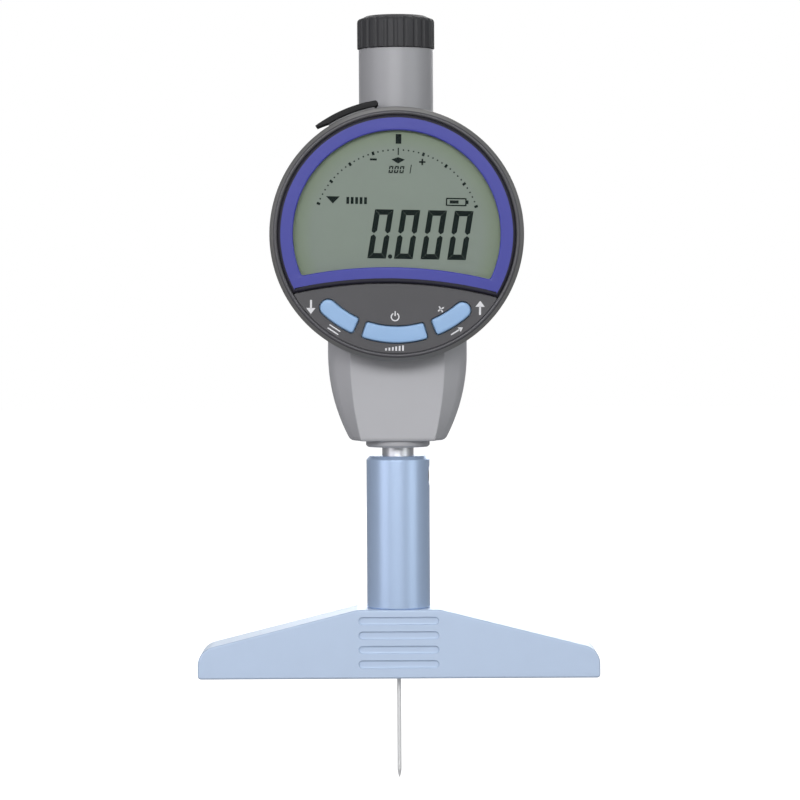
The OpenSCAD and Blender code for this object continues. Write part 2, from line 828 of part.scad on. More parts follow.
module sensor_board() {
    color([0.12, 0.4, 0.24]) facing() difference() {
        box(-sensor_board_half_w, sensor_board_half_w, sensor_board_bottom, sensor_board_top,
            sensor_board_back, sensor_board_front);
        for (side = [-1, 1])
            translate([side * sensor_post_x, sensor_post_z, 0])
                disc(small_screw_r + slip, sensor_board_back - over, sensor_board_front + over);
        // the foot is narrower, to go down into the channel
        for (side = [0, 1])
            mirror([side, 0, 0])
                box(channel_w / 2 - 2 * slip, sensor_board_half_w + over, floor_z, sensor_board_step,
                    sensor_board_back - over, sensor_board_front + over);
    }
}

module sensor_chip() {
    color([0.1, 0.1, 0.11]) facing()
        box(-sensor_chip_half_w, sensor_chip_half_w,
            sensor_z - sensor_chip_h / 2, sensor_z + sensor_chip_h / 2,
            sensor_board_back - chip_t, sensor_board_back);
}

module sensor_screws() {
    color([0.7, 0.7, 0.72])
        for (side = [-1, 1])
            translate([side * sensor_post_x, 0, sensor_post_z]) facing() {
                disc(small_head_r, sensor_board_back - small_head_t, sensor_board_back);
                disc(small_screw_r - fit, sensor_board_back - small_head_t, front_wall_back - 2 * slip);
            }
}

// ---- Head bearing ----

module head_retaining_ring() {
    color([0.75, 0.75, 0.77]) at_head() difference() {
        ring(hub_r - ring_seat, hub_r + ring_w, hub_back + 2 * slip, hub_back + 2 * slip + ring_t);
        box(-ring_w, ring_w, 0, hub_r + ring_w + over, hub_back, hub_back + 2 * slip + ring_t + over);
    }
}

module head_friction_washer() {
    color([0.9, 0.9, 0.88]) at_dial()
        ring(hub_r + 2 * fit, hub_r + washer_w, front_wall_back - washer_t - fit, front_wall_back - fit);
}

module at_board_screws() {
    for (a = board_screw_angles)
        rotate([0, 0, a]) translate([board_screw_orbit, 0, 0]) children();
}

module head_shell() {
    color([0.2, 0.2, 0.22]) at_head() difference() {
        union() {
            ring(shell_r - shell_wall, shell_r, head_back, panel_back - 2.6);
            disc(shell_r, head_back, shell_plate_front);
            disc(hub_r, hub_back, head_back + over / 2);
            at_board_screws() disc(board_post_r, head_back, board_back);
        }
        disc(hub_bore, hub_back - over, shell_plate_front + over);
        ring(hub_r - ring_seat, hub_r + over, hub_back + 1.5 * slip, hub_back + 2.5 * slip + ring_t);
        at_board_screws() disc(small_screw_r, shell_plate_front, board_back + over);
        translate([0, stop_pin_orbit, 0]) disc(stop_pin_r, head_back - over, shell_plate_front + over);
        port_cut();
    }
}

module head_stop_pin() {
    color([0.78, 0.78, 0.8]) at_head() translate([0, stop_pin_orbit, 0])
        disc(stop_pin_r, case_front - stop_pin_depth + 0.25, shell_plate_front);
}

// ---- Display head ----

// Everything inside radius r and above the arched sill
module window_shape(r, drop, arch_r, z0, z1) {
    difference() {
        disc(r, z0, z1);
        translate([0, -drop - arch_r, 0]) cylinder_sill(arch_r, z0 - over, z1 + over);
    }
}

module cylinder_sill(r, z0, z1) {
    translate([0, 0, z0]) cylinder(r = r, h = z1 - z0, $fn = 240);
}

module bezel_ring() {
    color([0.24, 0.24, 0.26]) at_head() difference() {
        rotate_extrude() polygon([
            [shell_r + fit, bezel_back], [bezel_r - 0.4, bezel_back], [bezel_r, bezel_back + 0.4],
            [bezel_r, bezel_front - bezel_chamfer], [bezel_r - bezel_chamfer, bezel_front],
            [bezel_lip_r, panel_face + slip], [bezel_lip_r, panel_back - 0.8],
            [shell_r + fit, panel_back - 0.8]]);
        port_cut();
    }
}

module button_panel() {
    color([0.36, 0.36, 0.38]) at_head() difference() {
        intersection() {
            disc(panel_r, panel_back, panel_face);
            translate([0, -sill_drop - sill_r, 0]) cylinder_sill(sill_r - 0.05, panel_back, panel_face);
        }
        all_buttons(button_gap, panel_back - over, panel_face + over);
    }
}

module window_frame() {
    lip_back = lens_face;
    color([0.33, 0.33, 0.68]) at_head() difference() {
        union() {
            window_shape(frame_r, sill_drop, sill_r, panel_back, frame_face);
            window_shape(panel_r, sill_drop, sill_r, panel_back, panel_face - 0.4);
        }
        window_shape(window_r, window_drop, sill_r, panel_back - over, frame_face + over);
        window_shape(window_r + lens_rebate, window_drop + lens_rebate, sill_r, panel_back - over, lip_back);
    }
}

module window_lens() {
    color([0.85, 0.9, 0.9, 0.4]) at_head()
        window_shape(window_r + lens_rebate - 0.05, window_drop + lens_rebate - 0.05, sill_r,
            lens_face - lens_t, lens_face);
}

module lcd_glass() {
    color([0.55, 0.6, 0.55]) at_head()
        window_shape(window_r + 0.7, window_drop + 1.2, sill_r, lcd_back, lcd_face);
}

module lcd_holder() {
    color([0.85, 0.85, 0.83]) at_head() difference() {
        disc(shell_r - shell_wall - 0.1, holder_back, holder_face);
        window_shape(window_r + 0.75, window_drop + 1.25, sill_r, lcd_back, holder_face + over);
        all_buttons(1, holder_back - over, holder_face + over);
        box(-connector_half_w - slip, connector_half_w + slip, -window_drop - connector_h / 2 - slip,
            -window_drop + connector_h / 2 + slip, holder_back - over, lcd_back + over / 2);
        port_cut();
    }
}

module lcd_connector() {
    color([0.85, 0.45, 0.5]) at_head()
        box(-connector_half_w, connector_half_w,
            -window_drop - connector_h / 2, -window_drop + connector_h / 2, board_front, lcd_back);
}

module main_board() {
    color([0.1, 0.38, 0.22]) at_head() difference() {
        disc(board_r, board_back, board_front);
        at_board_screws() disc(small_screw_r + 2 * slip, board_back - over, board_front + over);
    }
}

module board_chips() {
    cpu_x = hub_bore - cpu_w / 2 - 0.01;
    driver_w = 7;
    driver_h = 3;
    part_w = 1.2;
    color([0.1, 0.1, 0.11]) at_head() {
        // processor, display driver and a column of small parts, all clear of the cable in the hub
        box(-cpu_x - cpu_w, -cpu_x, -cpu_x - cpu_w, -cpu_x, board_back - cpu_t, board_back);
        box(-driver_w / 2, driver_w / 2, -hub_bore - 2 * driver_h, -hub_bore - driver_h,
            board_back - cpu_t, board_back);
        for (i = [0:3])
            box(hub_bore + 2 * i * part_w, hub_bore + (2 * i + 1) * part_w, part_w, 3 * part_w,
                board_back - part_w / 2, board_back);
        box(-flex_w / 2 - flex_t, flex_w / 2 + flex_t, flex_plug_y, flex_plug_y + flex_plug_h,
            board_back - cpu_t, board_back);
    }
}

module board_screws() {
    color([0.72, 0.72, 0.74]) at_head() at_board_screws() {
        disc(small_head_r, board_front, board_front + small_head_t);
        disc(small_screw_r - fit, shell_plate_front + small_head_t, board_front + small_head_t);
    }
}

module flex_cable() {
    steps = 12;
    y_top = flex_plug_y + flex_plug_h / 2;
    y_bottom = sensor_board_top - head_z + flex_t / 2;
    z_front = board_back - cpu_t;
    z_back = sensor_board_back;
    middle = [for (i = [0:steps]) let (t = i / steps)
        [z_front + (z_back - z_front) * t, y_top + (y_bottom - y_top) * (1 - cos(180 * t)) / 2]];
    color([0.8, 0.5, 0.2]) at_dial() rotate([0, -90, 0]) linear_extrude(flex_w, center = true)
        polygon(concat(
            [for (p = middle) p + [0, flex_t / 2]],
            [for (i = [steps:-1:0]) middle[i] - [0, flex_t / 2]]));
}

// ---- Buttons ----

// A button's outline, grown all round by g: part of a ring, with a round outer end on a side button.
// side is 0 for the middle button, -1 for the left one and 1 for the right one
module button_shape(side, g, z0, z1) {
    grow_a = g / button_mid_r * 180 / PI;
    if (side == 0) {
        sector(button_r0 - g, button_r0 + button_w + g, 270 - mid_button_half - grow_a,
            270 + mid_button_half + grow_a, z0, z1);
    } else if (side > 0) {
        mirror([1, 0, 0]) button_shape(-1, g, z0, z1);
    } else {
        end_r = button_w / 2;
        end_a = 270 - side_button_to + end_r / button_mid_r * 180 / PI;
        sector(button_r0 - g, button_r0 + button_w + g, end_a, 270 - side_button_from + grow_a, z0, z1);
        rotate([0, 0, end_a]) translate([button_mid_r, 0, 0]) disc(end_r + g, z0, z1);
    }
}

module all_buttons(g, z0, z1) {
    for (side = [-1, 0, 1]) button_shape(side, g, z0, z1);
}

function button_middle(side) = 270 + side * (side_button_from + side_button_to) / 2;

module button(side) {
    color([0.58, 0.74, 0.9]) at_head() {
        button_shape(side, 0, panel_back - 0.5, button_face);
        button_shape(side, button_flange, panel_back - slip - button_flange_t, panel_back - slip);
        rotate([0, 0, button_middle(side)]) translate([button_mid_r, 0, 0])
            disc(button_stem_r, stem_end, panel_back - slip - button_flange_t / 2);
    }
}

module button_switches() {
    color([0.85, 0.83, 0.75]) at_head()
        for (side = [-1, 0, 1])
            rotate([0, 0, button_middle(side)]) translate([button_mid_r, 0, board_front])
                cylinder(r1 = 2, r2 = 1.4, h = switch_h);
}

// ---- Data port ----

// Turns a drawing whose +y is the port's outward direction into place
module at_port() {
    rotate([0, 0, port_angle - 90]) children();
}

module port_cut() {
    at_port() box(-port_half_w - 0.05, port_half_w + 0.05, shell_r - shell_wall - 0.2, port_r + over,
        port_back - 0.05, port_front + 0.05);
}

module data_socket() {
    color([0.6, 0.6, 0.62]) at_head() at_port() difference() {
        intersection() {
            box(-port_half_w, port_half_w, shell_r - shell_wall - 0.15, port_r + over,
                port_back, port_front);
            disc(port_r, port_back - over, port_front + over);
        }
        box(-socket_half_w, socket_half_w, socket_bottom_r, port_r + over,
            socket_mid - socket_h / 2, socket_mid + socket_h / 2);
    }
}

module socket_contacts() {
    color([0.85, 0.72, 0.35]) at_head() at_port()
        for (i = [-2:2])
            translate([i * pin_pitch, socket_bottom_r, socket_mid])
                box(-pin_pitch / 4, pin_pitch / 4, 0, socket_pin_h, -socket_h / 4, socket_h / 4);
}

module port_cover() {
    a_end = port_angle + port_span / 2;
    plug_gap = 0.2;
    side_lap = 0.3;
    tab_inset = 1;
    tab_root = 0.3;      // angle by which the tab runs into the cover
    tab_thin = 0.6;
    steps = 4;
    tab_angles = [for (i = [0:steps]) a_end - tab_root + (tab_span + tab_root) * i / steps];
    color([0.09, 0.09, 0.1]) at_head() {
        sector(cover_r0, cover_r1, hinge_angle, a_end, port_back - side_lap, port_front + side_lap);
        rotate([0, 0, hinge_angle]) translate([hinge_r, 0, 0])
            disc(cover_t / 2, port_back - side_lap, port_front + side_lap);
        // pull tab, thinning towards its free end
        slab(port_back + tab_inset, port_front - tab_inset) polygon(concat(
            [for (a = tab_angles) cover_r1 * [cos(a), sin(a)]],
            [for (i = [steps:-1:0]) (cover_r0 + slip + (cover_t - tab_thin) * i / steps)
                * [cos(tab_angles[i]), sin(tab_angles[i])]]));
        // plug that fills the socket's mouth
        at_port() box(-socket_half_w + plug_gap, socket_half_w - plug_gap,
            port_r - plug_depth, cover_r0 + cover_t / 2,
            socket_mid - socket_h / 2 + plug_gap, socket_mid + socket_h / 2 - plug_gap);
    }
}

// ---- Assembly ----

base_bar();
holder_sleeve();
clamp_pad();
clamp_screw();
case_body();
stem();
spindle_bushes();
guard_tube();
back_cover();
back_cover_screws();
back_gasket();
battery_tray();
battery_contacts();
coin_cell();
battery_leads();
guide_rail();
return_spring();
spring_post();
stop_bumper();
sensor_board();
sensor_chip();
sensor_screws();
head_retaining_ring();
head_friction_washer();
flex_cable();
battery_door_seal();
battery_door();
cap_seal();
guard_cap();
spindle();
needle_holder();
needle();
scale_bracket();
glass_scale();
guide_pin();
head_shell();
head_stop_pin();
bezel_ring();
button_panel();
window_frame();
window_lens();
lcd_glass();
lcd_holder();
lcd_connector();
main_board();
board_chips();
board_screws();
button_switches();
data_socket();
socket_contacts();
port_cover();
button(-1);  // left_button
button(0);  // middle_button
button(1);  // right_button
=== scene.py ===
import math
import bmesh
import bpy
from mathutils import Matrix, Vector
from mathutils.geometry import tessellate_polygon


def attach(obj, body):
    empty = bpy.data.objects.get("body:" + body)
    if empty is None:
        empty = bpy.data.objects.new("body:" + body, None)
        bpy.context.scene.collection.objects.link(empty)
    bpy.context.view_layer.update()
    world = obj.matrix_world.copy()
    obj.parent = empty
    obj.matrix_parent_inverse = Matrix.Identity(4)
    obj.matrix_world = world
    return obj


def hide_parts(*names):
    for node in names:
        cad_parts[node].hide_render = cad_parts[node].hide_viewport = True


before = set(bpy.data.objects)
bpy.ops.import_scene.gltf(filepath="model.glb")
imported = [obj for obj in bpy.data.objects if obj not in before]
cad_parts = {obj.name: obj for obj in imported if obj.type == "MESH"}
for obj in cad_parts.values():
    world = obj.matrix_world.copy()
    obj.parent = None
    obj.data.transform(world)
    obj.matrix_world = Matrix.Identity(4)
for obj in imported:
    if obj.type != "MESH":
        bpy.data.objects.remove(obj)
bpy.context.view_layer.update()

# ---- Camera ----
# The gauge is seen from straight in front, a little above the base and level with its middle,
# from 0.84 m away. The lens frames it as the photograph does: 3312 px of focal length in 800.
MM = 0.001
eye_right, eye_distance, eye_height = 0.6, 841.0, 94.2
tilt_down, roll = 1.64, -0.30
lens_mm, sensor_mm = 149.04, 36.0

camera_data = bpy.data.cameras.new("studio_camera")
camera_data.lens = lens_mm
camera_data.sensor_width = sensor_mm
camera_data.clip_start = 0.05
camera_data.clip_end = 20.0
camera = bpy.data.objects.new("studio_camera", camera_data)
bpy.context.scene.collection.objects.link(camera)


# A turn about an axis, in degrees
def turn(angle, axis="Z"):
    return Matrix.Rotation(math.radians(angle), 4, axis)


eye = Matrix.Translation((eye_right * MM, -eye_distance * MM, eye_height * MM))
camera.matrix_world = eye @ turn(90.0 - tilt_down, "X") @ turn(roll)
bpy.context.scene.camera = camera

# ---- Studio light and floor ----
# White surroundings that the camera sees as plain white. The metal mirrors them dimmer, but for the
# lit backdrop. Two tall soft boxes stand at the sides, and others hang in front above the camera,
# behind and overhead. The floor is just under the needle's tip, and looks white to the camera.
room_light, backdrop_light, backdrop_from, backdrop_to = 0.30, 1.0, 0.72, 0.95
floor_z, floor_half = -26.2, 3.0
floor_glow_seen = 0.95
bpy.context.scene.view_settings.view_transform = "Standard"


# Sets inputs of a shader node by their names
def preset(node, values):
    for name, value in values.items():
        node.inputs[name].default_value = value


world = bpy.data.worlds.new("studio_room")
bpy.context.scene.world = world
world.use_nodes = True
room = world.node_tree.nodes
room_links = world.node_tree.links
room.clear()
room_out = room.new("ShaderNodeOutputWorld")
room_mix = room.new("ShaderNodeMixShader")
seen_white = room.new("ShaderNodeBackground")
preset(seen_white, {"Color": (1.0, 1.0, 1.0, 1.0)})
fill_light = room.new("ShaderNodeBackground")
preset(fill_light, {"Color": (0.97, 0.98, 1.0, 1.0)})
way = room.new("ShaderNodeTexCoord")
way_parts = room.new("ShaderNodeSeparateXYZ")
backdrop = room.new("ShaderNodeMapRange")
backdrop.interpolation_type = "SMOOTHSTEP"
preset(backdrop, {"From Min": backdrop_from, "From Max": backdrop_to, "To Min": room_light,
                  "To Max": backdrop_light})
room_links.new(way.outputs["Generated"], way_parts.inputs[0])
room_links.new(way_parts.outputs["Y"], backdrop.inputs["Value"])
room_links.new(backdrop.outputs["Result"], fill_light.inputs["Strength"])
path = room.new("ShaderNodeLightPath")
room_links.new(path.outputs["Is Camera Ray"], room_mix.inputs[0])
room_links.new(fill_light.outputs[0], room_mix.inputs[1])
room_links.new(seen_white.outputs[0], room_mix.inputs[2])
room_links.new(room_mix.outputs[0], room_out.inputs["Surface"])


def soft_box(name, spot, aim_z, width, height, watts, colour=(1.0, 1.0, 1.0)):
    lamp = bpy.data.lights.new(name, "AREA")
    lamp.shape = "RECTANGLE"
    lamp.size = width
    lamp.size_y = height
    lamp.energy = watts
    lamp.color = colour
    box = bpy.data.objects.new(name, lamp)
    bpy.context.scene.collection.objects.link(box)
    box.location = spot
    box.rotation_euler = (Vector((0, 0, aim_z)) - Vector(spot)).to_track_quat("-Z", "Y").to_euler()


soft_box("soft_box_left", (-0.76, -0.58, 0.14), 0.06, 0.55, 1.0, 3.1, (0.97, 0.96, 1.0))
soft_box("soft_box_right", (0.76, -0.56, 0.14), 0.06, 0.55, 1.0, 2.8, (0.96, 1.0, 1.0))
soft_box("soft_box_front", (-0.1, -1.1, 0.40), 0.06, 0.9, 0.28, 7.2)
soft_box("soft_box_back", (0.25, 1.0, 0.55), 0.06, 0.9, 0.7, 5.0)
soft_box("soft_box_top", (0.0, -0.2, 1.1), 0.0, 0.9, 0.9, 2.0)

floor_mesh = bpy.data.meshes.new("studio_floor")
floor_mesh.from_pydata(
    [(x * floor_half, y * floor_half, floor_z * MM) for x, y in ((-1, -1), (1, -1), (1, 1), (-1, 1))],
    [], [(0, 1, 2, 3)])
floor = bpy.data.objects.new("studio_floor", floor_mesh)
bpy.context.scene.collection.objects.link(floor)
floor_white = bpy.data.materials.new("floor_white")
floor_white.use_nodes = True
floor_shader = floor_white.node_tree.nodes["Principled BSDF"]
preset(floor_shader, {"Base Color": (0.35, 0.35, 0.35, 1.0), "Roughness": 0.95, "Specular IOR Level": 0.0,
                      "Emission Color": (1.0, 1.0, 1.0, 1.0)})
floor_links = floor_white.node_tree.links
floor_path = floor_white.node_tree.nodes.new("ShaderNodeLightPath")
floor_glow = floor_white.node_tree.nodes.new("ShaderNodeMapRange")
preset(floor_glow, {"To Max": floor_glow_seen})
floor_links.new(floor_path.outputs["Is Camera Ray"], floor_glow.inputs["Value"])
floor_links.new(floor_glow.outputs["Result"], floor_shader.inputs["Emission Strength"])
floor_mesh.materials.append(floor_white)

# ---- Base bar ----
# A nickel plated steel bar, 101.6 x 16 x 17.4 mm, matt on its two broad sides. Its top, shoulders,
# ends and underside are ground, and brighter. Four grip grooves are milled across each broad side.
# The needle's hole and the sleeve's threaded hole are bored down its middle.
base_len, base_t, base_h, base_edge = 101.6, 16.0, 17.4, 0.45
base_end_h, base_end_r, base_top_len, base_top_r, base_corner_r = 3.5, 4.8, 21.2, 1.5, 0.8
groove_len, groove_w, groove_pitch, groove_depth, groove_edge = 20.2, 1.9, 3.65, 0.5, 0.35
needle_hole_r, needle_hole_flare, spigot_r, spigot_len, slip = 3.2, 1.4, 6.0, 10.0, 0.02
matt_pale_blue, ground_pale_blue = (0.47, 0.57, 0.73), (0.60, 0.70, 0.84)

# Where a piece is drawn: upright as built, facing the front, and the same about the display's middle,
# still or turned with the display head. Edges that bend by more than the crease angle stay sharp
head_z, head_turn, crease_angle = 111.8, 1.4, 32.0
as_built = Matrix.Scale(MM, 4)
facing = as_built @ Matrix(((1, 0, 0, 0), (0, 0, -1, 0), (0, 1, 0, 0), (0, 0, 0, 1)))
at_dial = facing @ Matrix.Translation((0, head_z, 0))
at_head = at_dial @ turn(-head_turn)


# A point, an arc and a circle, in mm and degrees
def polar(r, angle, cx=0.0, cy=0.0):
    return cx + r * math.cos(math.radians(angle)), cy + r * math.sin(math.radians(angle))


def arc(cx, cy, r, a0, a1, steps=10):
    return [polar(r, a0 + (a1 - a0) * i / steps, cx, cy) for i in range(steps + 1)]


def circle(r, steps=96, cx=0.0, cy=0.0):
    return arc(cx, cy, r, 0, 360, steps)[:-1]


def mirrored(points):
    return points + [(-x, y) for x, y in reversed(points)]


# Moves each point of a closed outline sideways into the metal, which lies to its left
def inset(loop, by):
    if by == 0:
        return list(loop)
    moved = []
    for i, here in enumerate(loop):
        before, after = loop[i - 1], loop[(i + 1) % len(loop)]
        e0 = Vector((here[0] - before[0], here[1] - before[1])).normalized()
        e1 = Vector((after[0] - here[0], after[1] - here[1])).normalized()
        n0, n1 = Vector((-e0.y, e0.x)), Vector((-e1.y, e1.x))
        across = (n0 + n1) / max(1 + n0.dot(n1), 0.3)
        moved.append((here[0] + across.x * by, here[1] + across.y * by))
    return moved


# How a wall runs from its back edge to its front edge: pairs of (inset, depth), edges rounded
def wall(z0, z1, back=0.0, front=0.0, steps=4):
    run = []
    for i in range(steps if back else 0):
        a = math.pi / 2 * i / steps
        run.append((back * (1 - math.sin(a)), z0 + back * (1 - math.cos(a))))
    run += [(0.0, z0 + back), (0.0, z1 - front)]
    for i in range(1, steps + 1 if front else 0):
        a = math.pi / 2 * i / steps
        run.append((front * (1 - math.cos(a)), z1 - front + front * math.sin(a)))
    return run


# A flat piece from its outline and holes (clockwise), each with its wall. Pockets are sunk from
# the front face, and run from their floor up to it
def plate(loops, pockets=()):
    verts, faces = [], []

    def lay(loop, run):
        rings = []
        for by, z in run:
            rings.append(range(len(verts), len(verts) + len(loop)))
            verts.extend((x, y, z) for x, y in inset(loop, by))
        for low, high in zip(rings, rings[1:]):
            for i in range(len(loop)):
                j = (i + 1) % len(loop)
                faces.append((low[i], low[j], high[j], high[i]))
        return rings[0], rings[-1]

    def cap(rings, backwards):
        index = [i for ring in rings for i in ring]
        flat = [[Vector((verts[i][0], verts[i][1], 0)) for i in ring] for ring in rings]
        for t in tessellate_polygon(flat):
            faces.append(tuple(index[i] for i in (reversed(t) if backwards else t)))

    ends = [lay(loop, run) for loop, run in loops]
    sunk = [lay(loop, run) for loop, run in pockets]
    cap([e[0] for e in ends], True)
    cap([e[1] for e in ends] + [s[1] for s in sunk], False)
    for s in sunk:
        cap([s[0]], False)
    return verts, faces


# One solid from several
def joined(*solids):
    verts, faces = [], []
    for v, f in solids:
        faces += [tuple(i + len(verts) for i in face) for face in f]
        verts += v
    return verts, faces


# A solid as a mesh in its place, without double points
def placed(name, solid, spot, thin=False):
    verts, faces = solid
    mesh = bpy.data.meshes.new(name)
    mesh.from_pydata([spot @ Vector(v) for v in verts], [], faces)
    bm = bmesh.new()
    bm.from_mesh(mesh)
    bmesh.ops.remove_doubles(bm, verts=bm.verts, dist=1e-7)
    if thin:
        bmesh.ops.dissolve_degenerate(bm, edges=bm.edges, dist=1e-8)
    bmesh.ops.recalc_face_normals(bm, faces=bm.faces)
    bm.to_mesh(mesh)
    bm.free()
    made = bpy.data.objects.new(name, mesh)
    bpy.context.scene.collection.objects.link(made)
    return made


# Sets a solid in place as a piece of its own
def piece(name, solid, spot, surface, body, stands_for=(), crease=crease_angle):
    made = placed(name, solid, spot, thin=True)
    made.data.materials.append(surface)
    smooth(made, crease)
    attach(made, body)
    if stands_for:
        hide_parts(*stands_for)
    return made


# Even shading that keeps the sharp edges
def smooth(made, crease=crease_angle):
    made.data.shade_smooth()
    made.data.set_sharp_from_angle(angle=math.radians(crease))
    if "even shading" not in made.modifiers:
        made.modifiers.new("even shading", "WEIGHTED_NORMAL").keep_sharp = True


# Cuts the cutters out of a piece, or adds them to it
def carve(made, *cutters, add=False, crease=crease_angle):
    for solid, spot in cutters:
        cutter = placed("cutter", solid, spot)
        cut = made.modifiers.new("cut", "BOOLEAN")
        cut.operation = "UNION" if add else "DIFFERENCE"
        cut.solver = "EXACT"
        cut.object = cutter
        shading = made.modifiers.get("even shading")
        if shading:
            made.modifiers.remove(shading)
        seen = made.evaluated_get(bpy.context.evaluated_depsgraph_get())
        result = bpy.data.meshes.new_from_object(seen)
        made.modifiers.remove(cut)
        made.data = result
        bpy.data.objects.remove(cutter)
    smooth(made, crease)


# A turned piece: its section is given as (radius, height, rounding) round a closed outline
def turned(section, steps=128):
    section = rounded(section)
    verts, rows, faces = [], [], []
    for r, h in section:
        count = 1 if r < 1e-6 else steps
        rows.append((len(verts), count))
        for i in range(count):
            a = 2 * math.pi * i / steps
            verts.append((r * math.cos(a), r * math.sin(a), h))
    for k in range(len(section)):
        (a, na), (b, nb) = rows[k], rows[(k + 1) % len(section)]
        if na == 1 and nb == 1:
            continue
        for i in range(steps):
            j = (i + 1) % steps
            if na == 1:
                faces.append((a, b + j, b + i))
            elif nb == 1:
                faces.append((a + i, a + j, b))
            else:
                faces.append((a + i, a + j, b + j, b + i))
    return verts, faces


# Rounds the corners of a closed outline, each by its own radius
def rounded(corners, steps=4):
    points = []
    for i, corner in enumerate(corners):
        here, r = Vector(corner[:2]), corner[2] if len(corner) > 2 else 0
        u = (Vector(corners[i - 1][:2]) - here).normalized()
        v = (Vector(corners[(i + 1) % len(corners)][:2]) - here).normalized()
        bend = math.acos(max(-1, min(1, u.dot(v))))
        if r == 0 or bend > math.pi - 1e-4:
            points.append(tuple(here))
            continue
        centre = here + (u + v).normalized() * (r / math.sin(bend / 2))
        start, end = here + u * (r / math.tan(bend / 2)), here + v * (r / math.tan(bend / 2))
        a0 = math.atan2(start.y - centre.y, start.x - centre.x)
        a1 = math.atan2(end.y - centre.y, end.x - centre.x)
        sweep = (a1 - a0 + math.pi) % (2 * math.pi) - math.pi
        for k in range(steps + 1):
            a = a0 + sweep * k / steps
            points.append((centre.x + r * math.cos(a), centre.y + r * math.sin(a)))
    return points


# A finish: colour with a slow mottle, and a fine grain in its gloss and its height.
# grain is in mm, and stretch draws the grain out along an axis, as grinding or turning does
def finish(name, colour, metal=0.0, rough=0.5, rub=0.05, grain=0.3, height=0.002, mottle=0.05,
           stretch=(1, 1, 1), patch=9.0, shine=0.5):
    made = bpy.data.materials.new(name)
    made.use_nodes = True
    nodes, links = made.node_tree.nodes, made.node_tree.links
    shader = nodes["Principled BSDF"]
    preset(shader, {"Metallic": metal, "Specular IOR Level": shine})
    spot = nodes.new("ShaderNodeTexCoord")
    drawn = nodes.new("ShaderNodeMapping")
    preset(drawn, {"Scale": stretch})
    links.new(spot.outputs["Object"], drawn.inputs["Vector"])
    fine = nodes.new("ShaderNodeTexNoise")
    preset(fine, {"Scale": 1 / (grain * MM), "Detail": 4.0})
    links.new(drawn.outputs["Vector"], fine.inputs["Vector"])
    slow = nodes.new("ShaderNodeTexNoise")
    preset(slow, {"Scale": 1 / (patch * MM), "Detail": 3.0})
    links.new(spot.outputs["Object"], slow.inputs["Vector"])
    tone = nodes.new("ShaderNodeMix")
    tone.data_type = "RGBA"
    preset(tone, {"A": [c * (1 - mottle) for c in colour] + [1],
                  "B": [c * (1 + mottle) for c in colour] + [1]})
    links.new(slow.outputs["Fac"], tone.inputs["Factor"])
    links.new(tone.outputs["Result"], shader.inputs["Base Color"])
    gloss = nodes.new("ShaderNodeMapRange")
    preset(gloss, {"To Min": rough - rub, "To Max": rough + rub})
    links.new(fine.outputs["Fac"], gloss.inputs["Value"])
    links.new(gloss.outputs["Result"], shader.inputs["Roughness"])
    relief = nodes.new("ShaderNodeBump")
    preset(relief, {"Distance": height * MM})
    links.new(fine.outputs["Fac"], relief.inputs["Height"])
    links.new(relief.outputs["Normal"], shader.inputs["Normal"])
    return made


# the shoulder's slope runs from the top's corner, and touches the rounded end
end_x = base_len / 2 - base_end_r
drop, run_out = base_end_h - base_h, end_x - base_top_len / 2
shoulder = 90 + math.degrees(math.atan2(drop, run_out) + math.asin(base_end_r / math.hypot(drop, run_out)))
right_half = (
    arc(base_len / 2 - base_corner_r, base_corner_r, base_corner_r, -90, 0, 4)
    + arc(end_x, base_end_h, base_end_r, 0, shoulder, 14)
    + arc(base_top_len / 2 - 0.3, base_h - base_top_r, base_top_r, shoulder, 90, 3))
base_outline = mirrored(right_half)


def groove(i):
    half = (groove_len - groove_w) / 2
    y = groove_pitch * (i + 1)
    round_ends = arc(half, y, groove_w / 2, 90, -90, 10) + arc(-half, y, groove_w / 2, 270, 90, 10)
    side = [(groove_edge, 0), (0.12, 0.06), (0, 0.25), (0, groove_depth - 0.1), (0.1, groove_depth)]
    return round_ends, side


# The front half, and its mirror image for the back. They lose the flat faces where they meet
def base_halves():
    pockets = [(loop, [(-by if z < 0.2 else by, base_t / 2 - groove_depth + z) for by, z in run])
               for loop, run in map(groove, range(4))]
    front, sides = plate([(base_outline, wall(0.0, base_t / 2, front=base_edge))], pockets)
    verts, faces = joined((front, sides), ([(x, y, -z) for x, y, z in front], [f[::-1] for f in sides]))
    return verts, [f for f in faces if any(abs(verts[i][2]) > 1e-6 for i in f)]


steel_blue = finish("base_matt_plated", matt_pale_blue, metal=0.25, rough=0.55, rub=0.06, grain=0.25,
                    height=0.004, mottle=0.03, stretch=(0.12, 1, 1))
base = piece("base_bar_ground", base_halves(), facing, steel_blue, "depth_base", ["base_bar"])
spigot_foot = base_h - spigot_len
needle_bore = turned([(0, -1), (needle_hole_r + needle_hole_flare, -1), (needle_hole_r, 0.4),
                      (needle_hole_r, spigot_foot + 0.1), (0, spigot_foot + 0.1)])
spigot_bore = turned([(0, spigot_foot), (spigot_r + slip, spigot_foot), (spigot_r + slip, base_h + 1),
                      (0, base_h + 1)])
carve(base, (needle_bore, as_built), (spigot_bore, as_built))
ground_blue = finish("base_ground_edges", ground_pale_blue, metal=0.4, rough=0.42, rub=0.04, grain=0.2,
                     height=0.002, mottle=0.03, stretch=(1, 0.1, 1))
base.data.materials.append(ground_blue)
for face in base.data.polygons:
    if abs(face.normal.y) < 0.5 and abs(face.center.y) < (base_t / 2 - base_edge) * MM:
        face.material_index = 1

